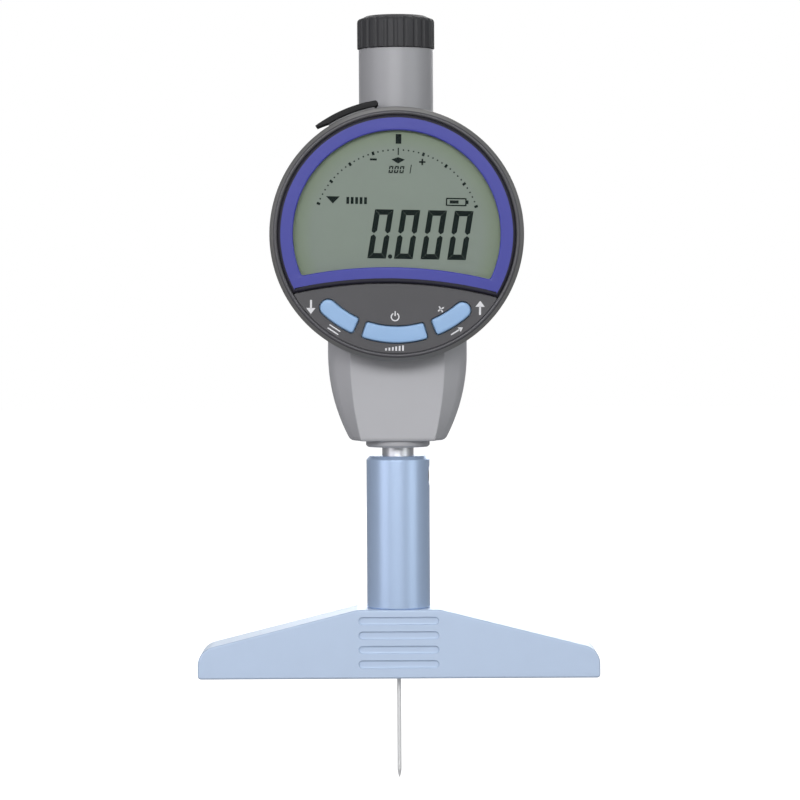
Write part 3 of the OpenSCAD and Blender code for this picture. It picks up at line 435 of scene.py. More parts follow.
# ---- Holder sleeve ----
# Turned steel with a bright blue-grey plating, screwed into the base by its spigot and bored 8 mm
# for the indicator's stem. The set screw's hole is tapped in its right side near the top.
sleeve_r, sleeve_top, sleeve_edge = 8.0, 56.0, 0.9
stem_bore_r, stem_bottom, relief_r = 4.03, 40.0, 4.5
clamp_z, clamp_screw_r, clamp_hole_flare = 51.0, 2.0, 0.9

bright_blue = finish("sleeve_plated", (0.47, 0.60, 0.82), metal=0.55, rough=0.34, rub=0.03, grain=0.2,
                     height=0.0015, mottle=0.03, stretch=(0.05, 0.05, 1.0), patch=14.0)
sleeve = piece("sleeve_turned", turned([
    (needle_hole_r, spigot_foot), (spigot_r, spigot_foot, 0.3), (spigot_r, base_h), (sleeve_r - 0.35, base_h),
    (sleeve_r, base_h + 0.25, 0.1), (sleeve_r, sleeve_top - sleeve_edge, 0.35),
    (sleeve_r - sleeve_edge, sleeve_top, 0.3), (stem_bore_r + 0.2, sleeve_top, 0.1),
    (stem_bore_r, sleeve_top - 0.2), (stem_bore_r, stem_bottom - 0.5), (relief_r, stem_bottom - 0.5),
    (relief_r, base_h), (needle_hole_r, base_h)]),
    as_built, bright_blue, "depth_base", ["holder_sleeve"])
screw_hole = turned([(0, 2), (clamp_screw_r + 0.03, 2), (clamp_screw_r + 0.03, sleeve_r - 0.6),
                     (clamp_screw_r + clamp_hole_flare, sleeve_r + 0.3), (0, sleeve_r + 0.3)], steps=48)
across_x = as_built @ Matrix.Translation((0, 0, clamp_z)) @ turn(90, "Y")
carve(sleeve, (screw_hole, across_x))

# ---- Set screw and pad ----
# A blackened M4 hexagon socket set screw. The brass pad in front of it presses on the stem, so
# that tightening doesn't mark it.
clamp_screw_x, clamp_screw_end, socket_r, socket_depth = 4.96, 7.85, 1.16, 1.6

blackened = finish("set_screw_blackened", (0.05, 0.05, 0.055), metal=0.9, rough=0.38, grain=0.1, mottle=0.1)
hexagon = circle(socket_r, 6)[::-1]
piece("set_screw", plate(
    [(circle(clamp_screw_r - slip, 48), wall(clamp_screw_x, clamp_screw_end, back=0.25, front=0.3))],
    [(hexagon, [(0.0, clamp_screw_end - socket_depth), (0.0, clamp_screw_end - 0.12),
                (-0.12, clamp_screw_end)])]),
    across_x, blackened, "clamp_screw", ["clamp_screw"])


# A CAD node that keeps its shape: it gets its finish, and its edges a small round
def dress(node, surface, edge=0.0):
    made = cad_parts[node]
    made.data.materials.clear()
    made.data.materials.append(surface)
    if edge:
        merge = made.modifiers.new("one skin", "WELD")
        merge.merge_threshold = 0.002 * MM
        flat = made.modifiers.new("flat faces", "DECIMATE")
        flat.decimate_type = "DISSOLVE"
        flat.angle_limit = math.radians(0.4)
        soft = made.modifiers.new("soft edges", "BEVEL")
        soft.width = edge * MM
        soft.segments = 3
        soft.limit_method = "ANGLE"
        soft.angle_limit = math.radians(crease_angle)
        soft.use_clamp_overlap = True
        made.modifiers.new("even shading", "WEIGHTED_NORMAL")
    return made


brass = finish("brass", (0.78, 0.55, 0.22), metal=1.0, rough=0.32, grain=0.2, mottle=0.06)
dress("clamp_pad", brass, 0.1)

# ---- Stem ----
# Hardened steel tube, ground to 8 mm and pressed into the case. It is bare for 2.3 mm between the
# sleeve and the boss.
stem_r, stem_inner_r, stem_top = 4.0, 2.8, 67.5

ground_steel = finish("ground_steel", (0.72, 0.72, 0.74), metal=1.0, rough=0.38, rub=0.04, grain=0.1,
                      height=0.0002, mottle=0.03, stretch=(0.1, 0.1, 1))
piece("stem_ground", turned([
    (stem_inner_r, stem_bottom, 0.2), (stem_r, stem_bottom, 0.4), (stem_r, stem_top),
    (stem_inner_r, stem_top)]), as_built, ground_steel, "indicator", ["stem"])

# ---- Case ----
# Die-cast and turned aluminium, glass blasted and clear coated. A round part stands behind the
# display, and a narrower lower body with slanted facets holds the stem. A short neck is on top.
case_r, case_back, case_front = 28.5, 9.5, 9.3
case_bottom, boss_bottom, boss_r, boss_edge = 60.0, 58.3, 8.1, 0.5
body_w, body_foot_w, body_curve_h, body_top_h = 35.2, 24.0, 22.0, 39.15
facet_w, facet_foot_w, facet_depth = 23.8, 18.6, 4.0
foot_r, side_r, foot_share, depth_share = 0.9, 1.4, 0.4, 0.45
front_wall_back, cavity_r, hub_r, hub_gap = 7.9, 25.3, 15.0, 0.06
channel_half_w, channel_front, channel_back, channel_top = 10.0, -6.9, 6.8, 99.15
neck_bottom, neck_top, thread_len, tube_r, tube_bore_r = 130.0, 141.0, 4.0, 9.4, 7.0
bush_post_r, bush_post_top, bush_hole_r, bush_seat = 6.0, 137.9, 5.0, 138.5
slot_r0, slot_r1, slot_floor, slot_reach = 19.8, 22.2, 8.4, 169.0
sensor_post_x, sensor_post_y, sensor_post_r, sensor_post_back = 9.0, -18.8, 1.7, 6.7
cover_screw_orbit, cover_screw_r = 26.9, 0.8

satin_alloy = finish("case_satin_alloy", (0.41, 0.41, 0.43), metal=0.15, rough=0.45, rub=0.05, grain=0.16,
                     height=0.003, mottle=0.03, shine=0.35)


# Half the width at a height: an arc from the foot up, and straight above it
def flank(w_top, w_foot, h):
    half = (w_top - w_foot) / 2
    r = (half * half + body_curve_h * body_curve_h) / (2 * half)
    below = max(body_curve_h - h, 0)
    return w_top / 2 - r + math.sqrt(r * r - below * below)


# Level sections one above another, tucked in round the foot
def lower_body():
    heights = [foot_r * (1 - math.cos(math.pi / 2 * i / 6)) for i in range(7)]
    heights += [foot_r + (body_curve_h - foot_r) * i / 16 for i in range(1, 17)] + [28.0, body_top_h]
    rows = []
    for h in heights:
        tuck = 0 if h >= foot_r else foot_r - math.sqrt(foot_r ** 2 - (foot_r - h) ** 2)
        side = flank(body_w, body_foot_w, h) - tuck
        face = flank(facet_w, facet_foot_w, h) - tuck * foot_share
        near, far = case_front - tuck * depth_share, case_back - tuck * depth_share
        half = [(face, -near, 0.5), (side - side_r, -(case_front - facet_depth), 6.0),
                (side, -(case_front - facet_depth - 2 * side_r), 6.0),
                (side, far - side_r, 0.8), (side - side_r, far, 0.6)]
        rows.append([(x, y, case_bottom + h) for x, y in rounded(
            half + [(-x, y, r) for x, y, r in reversed(half)])])
    verts = [v for row in rows for v in row]
    n = len(rows[0])
    faces = [(k * n + i, k * n + (i + 1) % n, (k + 1) * n + (i + 1) % n, (k + 1) * n + i)
             for k in range(len(rows) - 1) for i in range(n)]
    return verts, faces + [tuple(reversed(range(n))), tuple(range(len(verts) - n, len(verts)))]


case = piece("case_casting", turned([
    (0, -case_back), (case_r, -case_back, 0.15), (case_r, case_front, 0.6), (0, case_front)], steps=160),
    at_dial, satin_alloy, "indicator", ["case_body"])
boss = turned([(0, boss_bottom), (boss_r - boss_edge, boss_bottom, 0.2),
               (boss_r, boss_bottom + boss_edge, 0.3), (boss_r, case_bottom + 1.5), (0, case_bottom + 1.5)])
neck = turned([(0, neck_bottom), (tube_r, neck_bottom), (tube_r, neck_top, 0.1), (tube_bore_r, neck_top),
               (tube_bore_r, neck_top + thread_len, 0.2), (0, neck_top + thread_len)])
carve(case, (lower_body(), as_built), (boss, as_built), (neck, as_built), add=True)


# A round bar from one height to another, as a drill or a post
def rod(r, z0, z1, steps=128):
    return turned([(0, z0), (r, z0), (r, z1), (0, z1)], steps)


channel = [(channel_half_w, channel_front), (channel_half_w, channel_back), (-channel_half_w, channel_back),
           (-channel_half_w, channel_front)]
slot_from, slot_to = 90 - head_turn - slot_reach, 90 - head_turn + slot_reach
stop_slot = arc(0, 0, slot_r1, slot_from, slot_to, 120) + arc(0, 0, slot_r0, slot_to, slot_from, 120)
at_cover_screws = [at_dial @ turn(angle) @ Matrix.Translation((cover_screw_orbit, 0, 0))
                   for angle in (45, 135, 225, 315)]
carve(case, (rod(cavity_r, -case_back - 1, front_wall_back), at_dial),
      (rod(hub_r + hub_gap, front_wall_back - 1, case_front + 1), at_dial),
      (plate([(channel, wall(stem_top, channel_top))]), as_built),
      (rod(stem_r, boss_bottom - 1, stem_top + 1), as_built),
      (plate([(stop_slot, wall(slot_floor, case_front + 1))]), at_dial),
      *[(rod(cover_screw_r, -10.5, -4.5, 24), spot) for spot in at_cover_screws])
carve(case, (rod(bush_post_r, neck_bottom + 0.5, bush_post_top, 64), as_built), add=True)
bush_hole = turned([(0, neck_bottom), (stem_r, neck_bottom), (stem_r, bush_seat), (bush_hole_r, bush_seat),
                    (bush_hole_r, neck_top + 5), (0, neck_top + 5)])
carve(case, (bush_hole, as_built))
sensor_post = rod(sensor_post_r, sensor_post_back, front_wall_back + 0.35, 32)
carve(case, *[(sensor_post, at_dial @ Matrix.Translation((x, sensor_post_y, 0)))
              for x in (-sensor_post_x, sensor_post_x)], add=True)

# ---- Guard tube and cap ----
# The tube is turned from the same alloy, blasted, and screws onto the neck. Its cap is moulded
# black plastic with 24 flutes to grip and a smooth low top, over a rubber seal.
tube_end, tube_thread_depth, cap_base, cap_top, cap_r = 163.2, 1.1, 159.0, 167.3, 9.8
flute_count, flute_r, cap_shoulder, cap_dome_r, cap_face_r = 24, 0.75, 0.7, 8.9, 7.4
cap_bore_r, cap_bore_top, cap_hollow_top = 8.4, 164.1, 166.0

tube_alloy = finish("tube_satin_alloy", (0.325, 0.325, 0.34), metal=0.15, rough=0.45, rub=0.05, grain=0.14,
                    height=0.0025, mottle=0.03, shine=0.25)
piece("guard_tube_turned", turned([
    (tube_bore_r, neck_top), (tube_r, neck_top, 0.12), (tube_r, cap_base - 0.15, 0.15),
    (tube_r - tube_thread_depth, cap_base - 0.05), (tube_r - tube_thread_depth, tube_end, 0.2),
    (tube_bore_r, tube_end, 0.2)], steps=144),
    as_built, tube_alloy, "indicator", ["guard_tube"])


# A round outline with scalloped flutes, each half as deep as its radius
def fluted(r, count, dip, steps=12):
    loop = []
    for i in range(count * steps):
        off = ((i / steps + 0.5) % 1 - 0.5) * 2 * math.pi / count * r
        depth = max(0.0, math.sqrt(max(dip * dip - off * off, 0)) - dip * 0.5)
        loop.append(polar(r - depth, 360 * i / (count * steps)))
    return loop


moulded_black = finish("cap_moulded", (0.032, 0.032, 0.035), rough=0.55, rub=0.08, grain=0.12,
                       height=0.006, mottle=0.12, shine=0.35)
cap = piece("guard_cap_fluted", plate([
    (fluted(cap_r, flute_count, flute_r), wall(cap_base, cap_top - cap_shoulder, 0.15, 1.0))]),
    as_built, moulded_black, "guard_cap", ["guard_cap"], crease=40.0)
cap_dome = turned([(0, cap_top - 2), (cap_dome_r, cap_top - 2), (cap_dome_r, cap_top - 0.75),
                   (cap_face_r, cap_top, 1.2), (0, cap_top)])
carve(cap, (cap_dome, as_built), add=True, crease=40.0)
cap_inside = turned([
    (0, cap_base - 1), (cap_bore_r, cap_base - 1), (cap_bore_r, cap_bore_top),
    (tube_bore_r, cap_bore_top), (tube_bore_r, cap_hollow_top), (0, cap_hollow_top)], steps=96)
carve(cap, (cap_inside, as_built), crease=40.0)
rubber = finish("black_rubber", (0.012, 0.012, 0.013), rough=0.62, rub=0.08, grain=0.2, height=0.006,
                mottle=0.2, shine=0.25)
dress("cap_seal", rubber)

# ---- Bezel and head shell ----
# The bezel is a dark grey anodised ring. Its outer corner is painted lighter and more metal, a painted
# highlight for the bright reflection round its rim.
# It is pressed round the moulded black head shell, which turns on the case's hub. A window in its rim holds
# the data port.
bezel_r, bezel_back, bezel_front, bezel_chamfer = 31.6, 9.8, 20.8, 1.4
shell_r, bezel_lip_r, panel_back, panel_face = 30.1, 29.65, 18.8, 20.3
# how far in from the rim and back from the front the bezel's painted highlight reaches
painted_highlight_w, painted_highlight_depth = 0.85, 2.2
port_angle, port_half_w, port_r, port_back, port_front, port_gap = 112.0, 6.11, 32.0, 11.2, 18.0, 0.05

bezel_grey = finish("bezel_anodised", (0.06, 0.059, 0.066), metal=0.25, rough=0.40, rub=0.06, grain=0.12,
                    height=0.002, mottle=0.05)
bezel = piece("bezel_turned", turned([
    (shell_r + 0.03, bezel_back), (bezel_r - 0.4, bezel_back, 0.3), (bezel_r, bezel_back + 0.4, 0.4),
    (bezel_r, bezel_front - bezel_chamfer, 0.9), (bezel_r - bezel_chamfer, bezel_front, 0.7),
    (bezel_lip_r, panel_face + 0.1, 0.1), (bezel_lip_r, panel_back - 0.8),
    (shell_r + 0.03, panel_back - 0.8)], steps=192),
    at_head, bezel_grey, "display_head", ["bezel_ring"])
# A lighter, more metal grey on the outer corner: a painted highlight standing for the rim's bright reflection
rim_highlight_paint = finish("bezel_outer_rim_painted_highlight", (0.26, 0.257, 0.255), metal=0.85, rough=0.42, grain=0.12,
                       height=0.001, mottle=0.05)
bezel.data.materials.append(rim_highlight_paint)
from_head = at_head.inverted()
# faces on the outer corner take the painted highlight
for face in bezel.data.polygons:
    x, y, z = from_head @ face.center
    if math.hypot(x, y) > bezel_r - painted_highlight_w and z > bezel_front - painted_highlight_depth:
        face.material_index = 1
half_w = port_half_w + port_gap
port_window = [(-half_w, shell_r - 1.4), (half_w, shell_r - 1.4), (half_w, port_r + 1), (-half_w, port_r + 1)]
carve(bezel, (plate([(port_window, wall(port_back - port_gap, port_front + port_gap))]),
              at_head @ turn(port_angle - 90)))
moulded_shell = finish("shell_moulded", (0.03, 0.03, 0.033), rough=0.5, grain=0.25, height=0.006, mottle=0.1)
dress("head_shell", moulded_shell, 0.1)

# ---- Button panel ----
# A moulded dark grey insert fills the head below the window, and clips into the head shell. It has
# three holes for the buttons, and small white signs are printed on it.
sill_r, sill_drop, sill_gap, panel_r = 108.0, 12.0, 0.3, 29.6
button_r0, button_w, button_gap, button_corner = 22.9, 4.0, 0.25, 0.6
mid_half, side_from, side_to = 17.7, 23.0, 46.5

panel_grey = finish("panel_moulded", (0.075, 0.074, 0.079), rough=0.5, rub=0.06, grain=0.18, height=0.005,
                    mottle=0.05, shine=0.3)


# The part of a disc above or below the arched sill, with its two corners rounded
def dome(r, drop, corner, arch=sill_r, above=True):
    d = drop + arch
    inner, outer = r - corner, arch + (corner if above else -corner)
    y = (outer ** 2 - inner ** 2 - d ** 2) / (2 * d)
    x = math.sqrt(inner ** 2 - y ** 2)
    to_rim = math.degrees(math.atan2(y, x))
    from_sill = math.degrees(math.atan2(x, y + d))
    sill = arc(0, -d, arch, 90 + from_sill, 90 - from_sill, 20)
    if above:
        down = math.degrees(math.atan2(-d - y, -x))
        right = arc(x, y, corner, down, to_rim, 8)
        rim = arc(0, 0, r, to_rim, 180 - to_rim, 96)
        left = [(-px, py) for px, py in reversed(right)]
        return sill[1:-1] + right + rim[1:-1] + left
    up = math.degrees(math.atan2(y + d, x))
    right = arc(x, y, corner, to_rim, up, 8)
    left = [(-px, py) for px, py in reversed(right)]
    rim = arc(0, 0, r, 180 - to_rim, 360 + to_rim, 64)
    return left + rim[1:-1] + right + sill[::-1][1:-1]


# Part of a ring with rounded corners: f0 at its start and f1 at its end
def ring_part(r0, r1, a0, a1, f0, f1):
    def corner(rho, f, c, start, end):
        cx, cy = polar(rho, c)
        return arc(cx, cy, f, start + c, end + c, 5)

    out0, out1, in0, in1 = [math.degrees(math.asin(f / rho)) for f, rho in (
        (f0, r1 - f0), (f1, r1 - f1), (f0, r0 + f0), (f1, r0 + f1))]
    loop = corner(r1 - f0, f0, a0 + out0, -90 - out0, 0)[:-1] + arc(0, 0, r1, a0 + out0, a1 - out1, 16)
    loop += corner(r1 - f1, f1, a1 - out1, 0, 90 + out1)[1:]
    loop += corner(r0 + f1, f1, a1 - in1, 90 + in1, 180)[:-1] + arc(0, 0, r0, a1 - in1, a0 + in0, 16)
    loop += corner(r0 + f0, f0, a0 + in0, 180, 270 - in0)[1:]
    return loop


def button_outline(side):
    r1 = button_r0 + button_w
    if side == 0:
        return ring_part(button_r0, r1, 270 - mid_half, 270 + mid_half, button_corner, button_corner)
    loop = ring_part(button_r0, r1, 270 - side_to, 270 - side_from, button_w / 2 - 0.02, button_corner)
    return loop if side < 0 else [(-x, y) for x, y in reversed(loop)]


below_sill = dome(panel_r, sill_drop + sill_gap, 0.4, above=False)
panel_wall = wall(panel_back, panel_face, 0, 0.12)
button_holes = [(inset(button_outline(side), -button_gap)[::-1], panel_wall) for side in (-1, 0, 1)]
piece("button_panel_moulded", plate([(below_sill, panel_wall)] + button_holes),
      at_head, panel_grey, "display_head", ["button_panel"])

# ---- Window frame ----
# A violet-blue moulded frame stands 0.6 mm out of the panel all round the display. Its outer edge and a
# band along its sill are near black, painted shade for the dark gap round the frame. The window's edge sits
# in a rebate behind it.
frame_r, window_r, window_drop, frame_face, lens_face = 29.4, 25.7, 8.2, 20.9, 19.9
# the widths of the painted shade along the frame's outer edge and along its sill
lens_rebate, rim_shade_w, sill_shade_w = 1.0, 0.6, 1.05

violet_blue = finish("frame_moulded_blue", (0.045, 0.05, 0.30), rough=0.38, rub=0.06, grain=0.2, height=0.003,
                     mottle=0.04, shine=0.3)
frame_wall = [(-0.2, panel_back), (-0.2, lens_face), (0, lens_face)] \
    + wall(lens_face, frame_face, 0, 0.4)[1:] + [(rim_shade_w, frame_face), (sill_shade_w, frame_face)]
hole_wall = [(lens_rebate, panel_back), (lens_rebate, lens_face), (0, lens_face)] \
    + wall(lens_face, frame_face, 0, 0.35)[1:]
blue_frame = piece("window_frame_moulded", plate([
    (dome(frame_r, sill_drop, 0.7), frame_wall),
    (dome(window_r, window_drop, 0.8)[::-1], hole_wall)]),
    at_head, violet_blue, "display_head", ["window_frame"])
# Near black on the frame's outer edge and sill band: painted shade for the gap between the frame, the bezel
# and the panel
gap_shade_paint = finish("frame_edge_painted_gap_shade", (0.012, 0.011, 0.022), rough=0.5, shine=0.25, grain=0.2, mottle=0.1)
blue_frame.data.materials.append(gap_shade_paint)
# faces near the outer edge or the sill take the painted shade
for face in blue_frame.data.polygons:
    x, y, z = from_head @ face.center
    sill_y = math.sqrt(sill_r ** 2 - x * x) - sill_r - sill_drop
    if math.hypot(x, y) > frame_r - rim_shade_w or y < sill_y + sill_shade_w:
        face.material_index = 1

# ---- Window and display ----
# A thin clear window protects a reflective liquid crystal display. Its digits, pointer scale and
# signs are plain segments, dark on grey-green.
lens_t, lcd_back, lcd_face = 1.0, 16.6, 18.6
lens_index, smear_scale, green_from, green_to = 1.22, 140.0, 21.0, 26.0

clear = bpy.data.materials.new("window_clear")
clear.use_nodes = True
lens, lens_links = clear.node_tree.nodes, clear.node_tree.links
lens.clear()
lens_out = lens.new("ShaderNodeOutputMaterial")
lens_mix = lens.new("ShaderNodeMixShader")
through = lens.new("ShaderNodeBsdfTransparent")
preset(through, {"Color": (0.98, 0.99, 0.985, 1)})
gleam = lens.new("ShaderNodeBsdfGlossy")
preset(gleam, {"Color": (1, 1, 1, 1)})
edge_on = lens.new("ShaderNodeFresnel")
preset(edge_on, {"IOR": lens_index})
on_lens = lens.new("ShaderNodeTexCoord")
smear = lens.new("ShaderNodeTexNoise")
preset(smear, {"Scale": smear_scale})
lens_links.new(on_lens.outputs["Object"], smear.inputs["Vector"])
lens_gloss = lens.new("ShaderNodeMapRange")
preset(lens_gloss, {"To Min": 0.04, "To Max": 0.1})
lens_links.new(smear.outputs["Fac"], lens_gloss.inputs["Value"])
lens_links.new(lens_gloss.outputs["Result"], gleam.inputs["Roughness"])
lens_links.new(edge_on.outputs["Fac"], lens_mix.inputs[0])
lens_links.new(through.outputs[0], lens_mix.inputs[1])
lens_links.new(gleam.outputs[0], lens_mix.inputs[2])
lens_links.new(lens_mix.outputs[0], lens_out.inputs["Surface"])
lens_lap = lens_rebate - 0.05
piece("window_lens_clear", plate([(dome(window_r + lens_lap, window_drop + lens_lap, 2.0),
                                   wall(lens_face - lens_t, lens_face, 0.08, 0.08, 2))]),
      at_head, clear, "display_head", ["window_lens"])

lcd_grey = finish("display_grey_green", (0.235, 0.27, 0.235), rough=0.45, rub=0.04, grain=0.3,
                  height=0.0005, mottle=0.03, patch=22.0, shine=0.3)
# greener towards the rim, where light enters the glass
glass, glass_links = lcd_grey.node_tree.nodes, lcd_grey.node_tree.links
glass_colour = glass["Principled BSDF"].inputs["Base Color"]
plain = glass_colour.links[0].from_socket
from_middle = glass.new("ShaderNodeMapping")
preset(from_middle, {"Location": (0, 0, -head_z * MM)})
on_glass = next(n for n in glass if n.type == "TEX_COORD")
glass_links.new(on_glass.outputs["Object"], from_middle.inputs["Vector"])
flat = glass.new("ShaderNodeVectorMath")
flat.operation = "MULTIPLY"
flat.inputs[1].default_value = (1, 0, 1)
glass_links.new(from_middle.outputs["Vector"], flat.inputs[0])
away = glass.new("ShaderNodeVectorMath")
away.operation = "LENGTH"
glass_links.new(flat.outputs["Vector"], away.inputs[0])
near_rim = glass.new("ShaderNodeMapRange")
preset(near_rim, {"From Min": green_from * MM, "From Max": green_to * MM})
glass_links.new(away.outputs["Value"], near_rim.inputs["Value"])
green = glass.new("ShaderNodeMix")
green.data_type = "RGBA"
preset(green, {"B": (0.215, 0.265, 0.175, 1)})
glass_links.new(near_rim.outputs["Result"], green.inputs["Factor"])
glass_links.new(plain, green.inputs["A"])
glass_links.new(green.outputs["Result"], glass_colour)
piece("display_glass", plate([(dome(window_r + 0.7, window_drop + 1.2, 1.8),
                               wall(lcd_back, lcd_face, 0.1, 0.1, 2))]),
      at_head, lcd_grey, "display_head", ["lcd_glass"])

digit_h, digit_w, stroke, digit_pitch, slant = 12.2, 4.65, 1.35, 6.6, math.tan(math.radians(8))
digit_x, digit_y = -6.34, -6.1
small_h, small_w, small_stroke, small_pitch, small_x, small_y = 1.8, 1.05, 0.34, 1.35, -4.5, 15.1
ink_under, ink_over, point_r = 0.01, 0.02, 0.55
# the pointer scale's strokes: where each starts and ends, from the middle, and its width
scale_step, pointer, middle_line = 3.485, (22.4, 24.8, 1.4), (19.6, 21.4, 0.3)
scale_block, scale_dot = (20.4, 21.3, 0.62), (20.72, 21.08, 0.36)


# A nought of six leaning segments, with gaps of g between them
def nought(x0, y0, w, h, t, g=0.02):
    half = h / 2
    top = [(g, h), (w - g, h), (w - t - g, h - t), (t + g, h - t)]
    upper_left = [(0, h - g), (t, h - t - g), (t, half + t * 0.6), (t / 2, half + t * 0.1),
                  (0, half + t * 0.45)]
    lower_left = [(x, h - y) for x, y in reversed(upper_left)]
    foot = [(x, h - y) for x, y in reversed(top)]
    upper_right, lower_right = [[(w - x, y) for x, y in reversed(left)] for left in (upper_left, lower_left)]
    return [[(x0 + x + (y0 + y) * slant, y0 + y) for x, y in segment]
            for segment in (top, upper_right, lower_right, foot, lower_left, upper_left)]


# Thin marks on a face
def printed(loops, face):
    edge, solids = [(0, face - ink_under), (0, face + ink_over)], []
    for loop in loops:
        area = sum(a[0] * b[1] - b[0] * a[1] for a, b in zip(loop, loop[1:] + loop[:1]))
        solids.append(plate([(loop if area > 0 else loop[::-1], edge)]))
    return joined(*solids)


# A straight stroke of width w, and one that points away from the middle
def bar(x0, y0, x1, y1, w):
    along = Vector((x1 - x0, y1 - y0)).normalized() * (w / 2)
    return [(x0 - along.y, y0 + along.x), (x0 + along.y, y0 - along.x),
            (x1 + along.y, y1 - along.x), (x1 - along.y, y1 + along.x)]


def spoke(from_top, r0, r1, w):
    return bar(*polar(r0, 90 - from_top), *polar(r1, 90 - from_top), w)


# four large noughts and their point, and the small reading above them
signs = []
for k in range(4):
    signs += nought(digit_x + k * digit_pitch, digit_y, digit_w, digit_h, stroke)
signs.append(circle(point_r, 16, digit_x + digit_w + 0.15, digit_y + point_r))
for k in range(3):
    signs += nought(small_x + k * small_pitch, small_y, small_w, small_h, small_stroke, 0.03)
signs.append(bar(3.0, small_y, 3.3, 17.3, 0.22))
# the pointer scale: dots, a block at each fifth, and the pointer above its middle line
for k in range(1, 21):
    mark = scale_dot if k % 5 else scale_block
    signs += [spoke(side * k * scale_step, *mark) for side in (-1, 1)]
signs += [spoke(0, *pointer), spoke(0, *middle_line)]
# minus, plus, the middle diamond, the triangle and the five bars
signs += [bar(-7.0, 18.4, -5.3, 18.4, 0.5), bar(5.2, 18.0, 6.8, 18.0, 0.42), bar(6.0, 17.2, 6.0, 18.8, 0.42)]
signs += [[(-1.7, 18.5), (0, 17.5), (1.7, 18.5), (0, 19.1)], [(-17.7, 9.1), (-14.3, 9.1), (-16.0, 7.3)]]
signs += [bar(-12.3 + k * 1.1, 7.3, -12.3 + k * 1.1, 9.0, 0.7) for k in range(5)]
# the battery sign
signs += [bar(12.2, 7.4, 17.0, 7.4, 0.34), bar(12.2, 9.1, 17.0, 9.1, 0.34), bar(12.2, 7.3, 12.2, 9.2, 0.34),
          bar(17.0, 7.3, 17.0, 9.2, 0.34), bar(17.4, 7.8, 17.4, 8.7, 0.5), bar(13.0, 8.25, 15.2, 8.25, 0.8)]
ink = finish("display_segments", (0.006, 0.012, 0.011), rough=0.6, grain=0.2, height=0.0, mottle=0.2,
             shine=0.05)
piece("display_digits", printed(signs, lcd_face), at_head, ink, "display_head")

# ---- Buttons ----
# Three pale blue keys of hard plastic stand 0.8 mm out of the panel. A flange behind the panel
# holds each one in, and its stem rests over a switch on the board.
button_face, flange_back, flange_front, flange = 21.1, 17.9, 18.7, 0.6
key_stem_r, key_stem_end = 1.2, 16.25

pale_blue = finish("button_pale_blue", (0.26, 0.42, 0.66), rough=0.36, rub=0.05, grain=0.2, height=0.003,
                   mottle=0.04)
key_wall = [(-flange, flange_back), (-flange, flange_front), (0, flange_front)] \
    + wall(flange_front, button_face, 0, 0.45)[1:]
for side, name in ((-1, "left_button"), (0, "middle_button"), (1, "right_button")):
    middle = polar(button_r0 + button_w / 2, 270 + side * (side_from + side_to) / 2)
    key_stem = circle(key_stem_r, 32, *middle)
    piece(name + "_key", joined(plate([(button_outline(side), key_wall)]),
                                plate([(key_stem, wall(key_stem_end, flange_back + 0.05, 0.15, 0))])),
          at_head, pale_blue, name, [name])

# ---- Printed signs on the panel ----
# Thin white ink, pad printed on the panel and then baked. An arrow stands at each end of the row of
# buttons, and a simple sign by each one: a ring, rising blocks, two lines, a small arrow and a cross.
arrow_down_at, arrow_up_at, small_arrow_at = (-20.9, -18.4), (21.0, -17.9), (15.35, -23.75)
ring_at, ring_r, lines_at, cross_at = (0, -20.5), 0.95, (-15.1, -23.95), (11.3, -18.4)
blocks_x, blocks_y, block_pitch, block_rise, lean = -2.1, -28.9, 0.84, 0.16, 33


def ring_mark(cx, cy, r, w, a0, a1):
    return arc(cx, cy, r + w / 2, a0, a1, 28) + arc(cx, cy, r - w / 2, a1, a0, 28)


def arrow(cx, cy, up):
    head = [(cx - 1.15, cy + up * 0.3), (cx + 1.15, cy + up * 0.3), (cx, cy + up * 1.8)]
    return [bar(cx, cy - up * 1.7, cx, cy + up * 0.4, 0.5), head]


def turned_sign(cx, cy, lean, loops):
    c, n = math.cos(math.radians(lean)), math.sin(math.radians(lean))
    return [[(cx + c * x - n * y, cy + n * x + c * y) for x, y in loop] for loop in loops]


marks = arrow(*arrow_down_at, -1) + arrow(*arrow_up_at, 1)
marks += [ring_mark(*ring_at, ring_r, 0.3, 120, 420), bar(0, ring_at[1] + 0.2, 0, ring_at[1] + 1.4, 0.3)]
for k in range(6):
    x = blocks_x + block_pitch * k
    marks.append(bar(x, blocks_y, x, blocks_y + 0.6 + block_rise * k, 0.44))
marks += turned_sign(*lines_at, 1 - lean, [bar(-1.6, y, 1.6, y, 0.3) for y in (-0.45, 0.45)])
marks += turned_sign(*small_arrow_at, lean, [bar(-1.7, 0, 0.9, 0, 0.34), [(0.7, -0.7), (1.8, 0), (0.7, 0.7)]])
marks += turned_sign(*cross_at, lean, [bar(-0.85, 0, 0.85, 0, 0.32), bar(0, -0.85, 0, 0.85, 0.32)])
white_ink = finish("white_print", (0.66, 0.66, 0.68), rough=0.6, grain=0.1, height=0.0, mottle=0.08)
piece("panel_signs", printed(marks, panel_face), at_head, white_ink, "display_head")

# ---- Data port and its cover ----
# The port's housing stands out of the rim at the upper left. A black rubber strip with a pull tab
# covers it and hinges at the end nearer the guard tube.
cover_r0, cover_r1, cover_from, cover_to, cover_lap = 32.1, 33.6, 100.5, 123.0, 0.3
tab_span, tab_steps, tab_rise, tab_thinning = 5.0, 6, 0.15, 0.7
plug_half_w, plug_half_t, plug_depth = 3.8, 1.3, 1.0

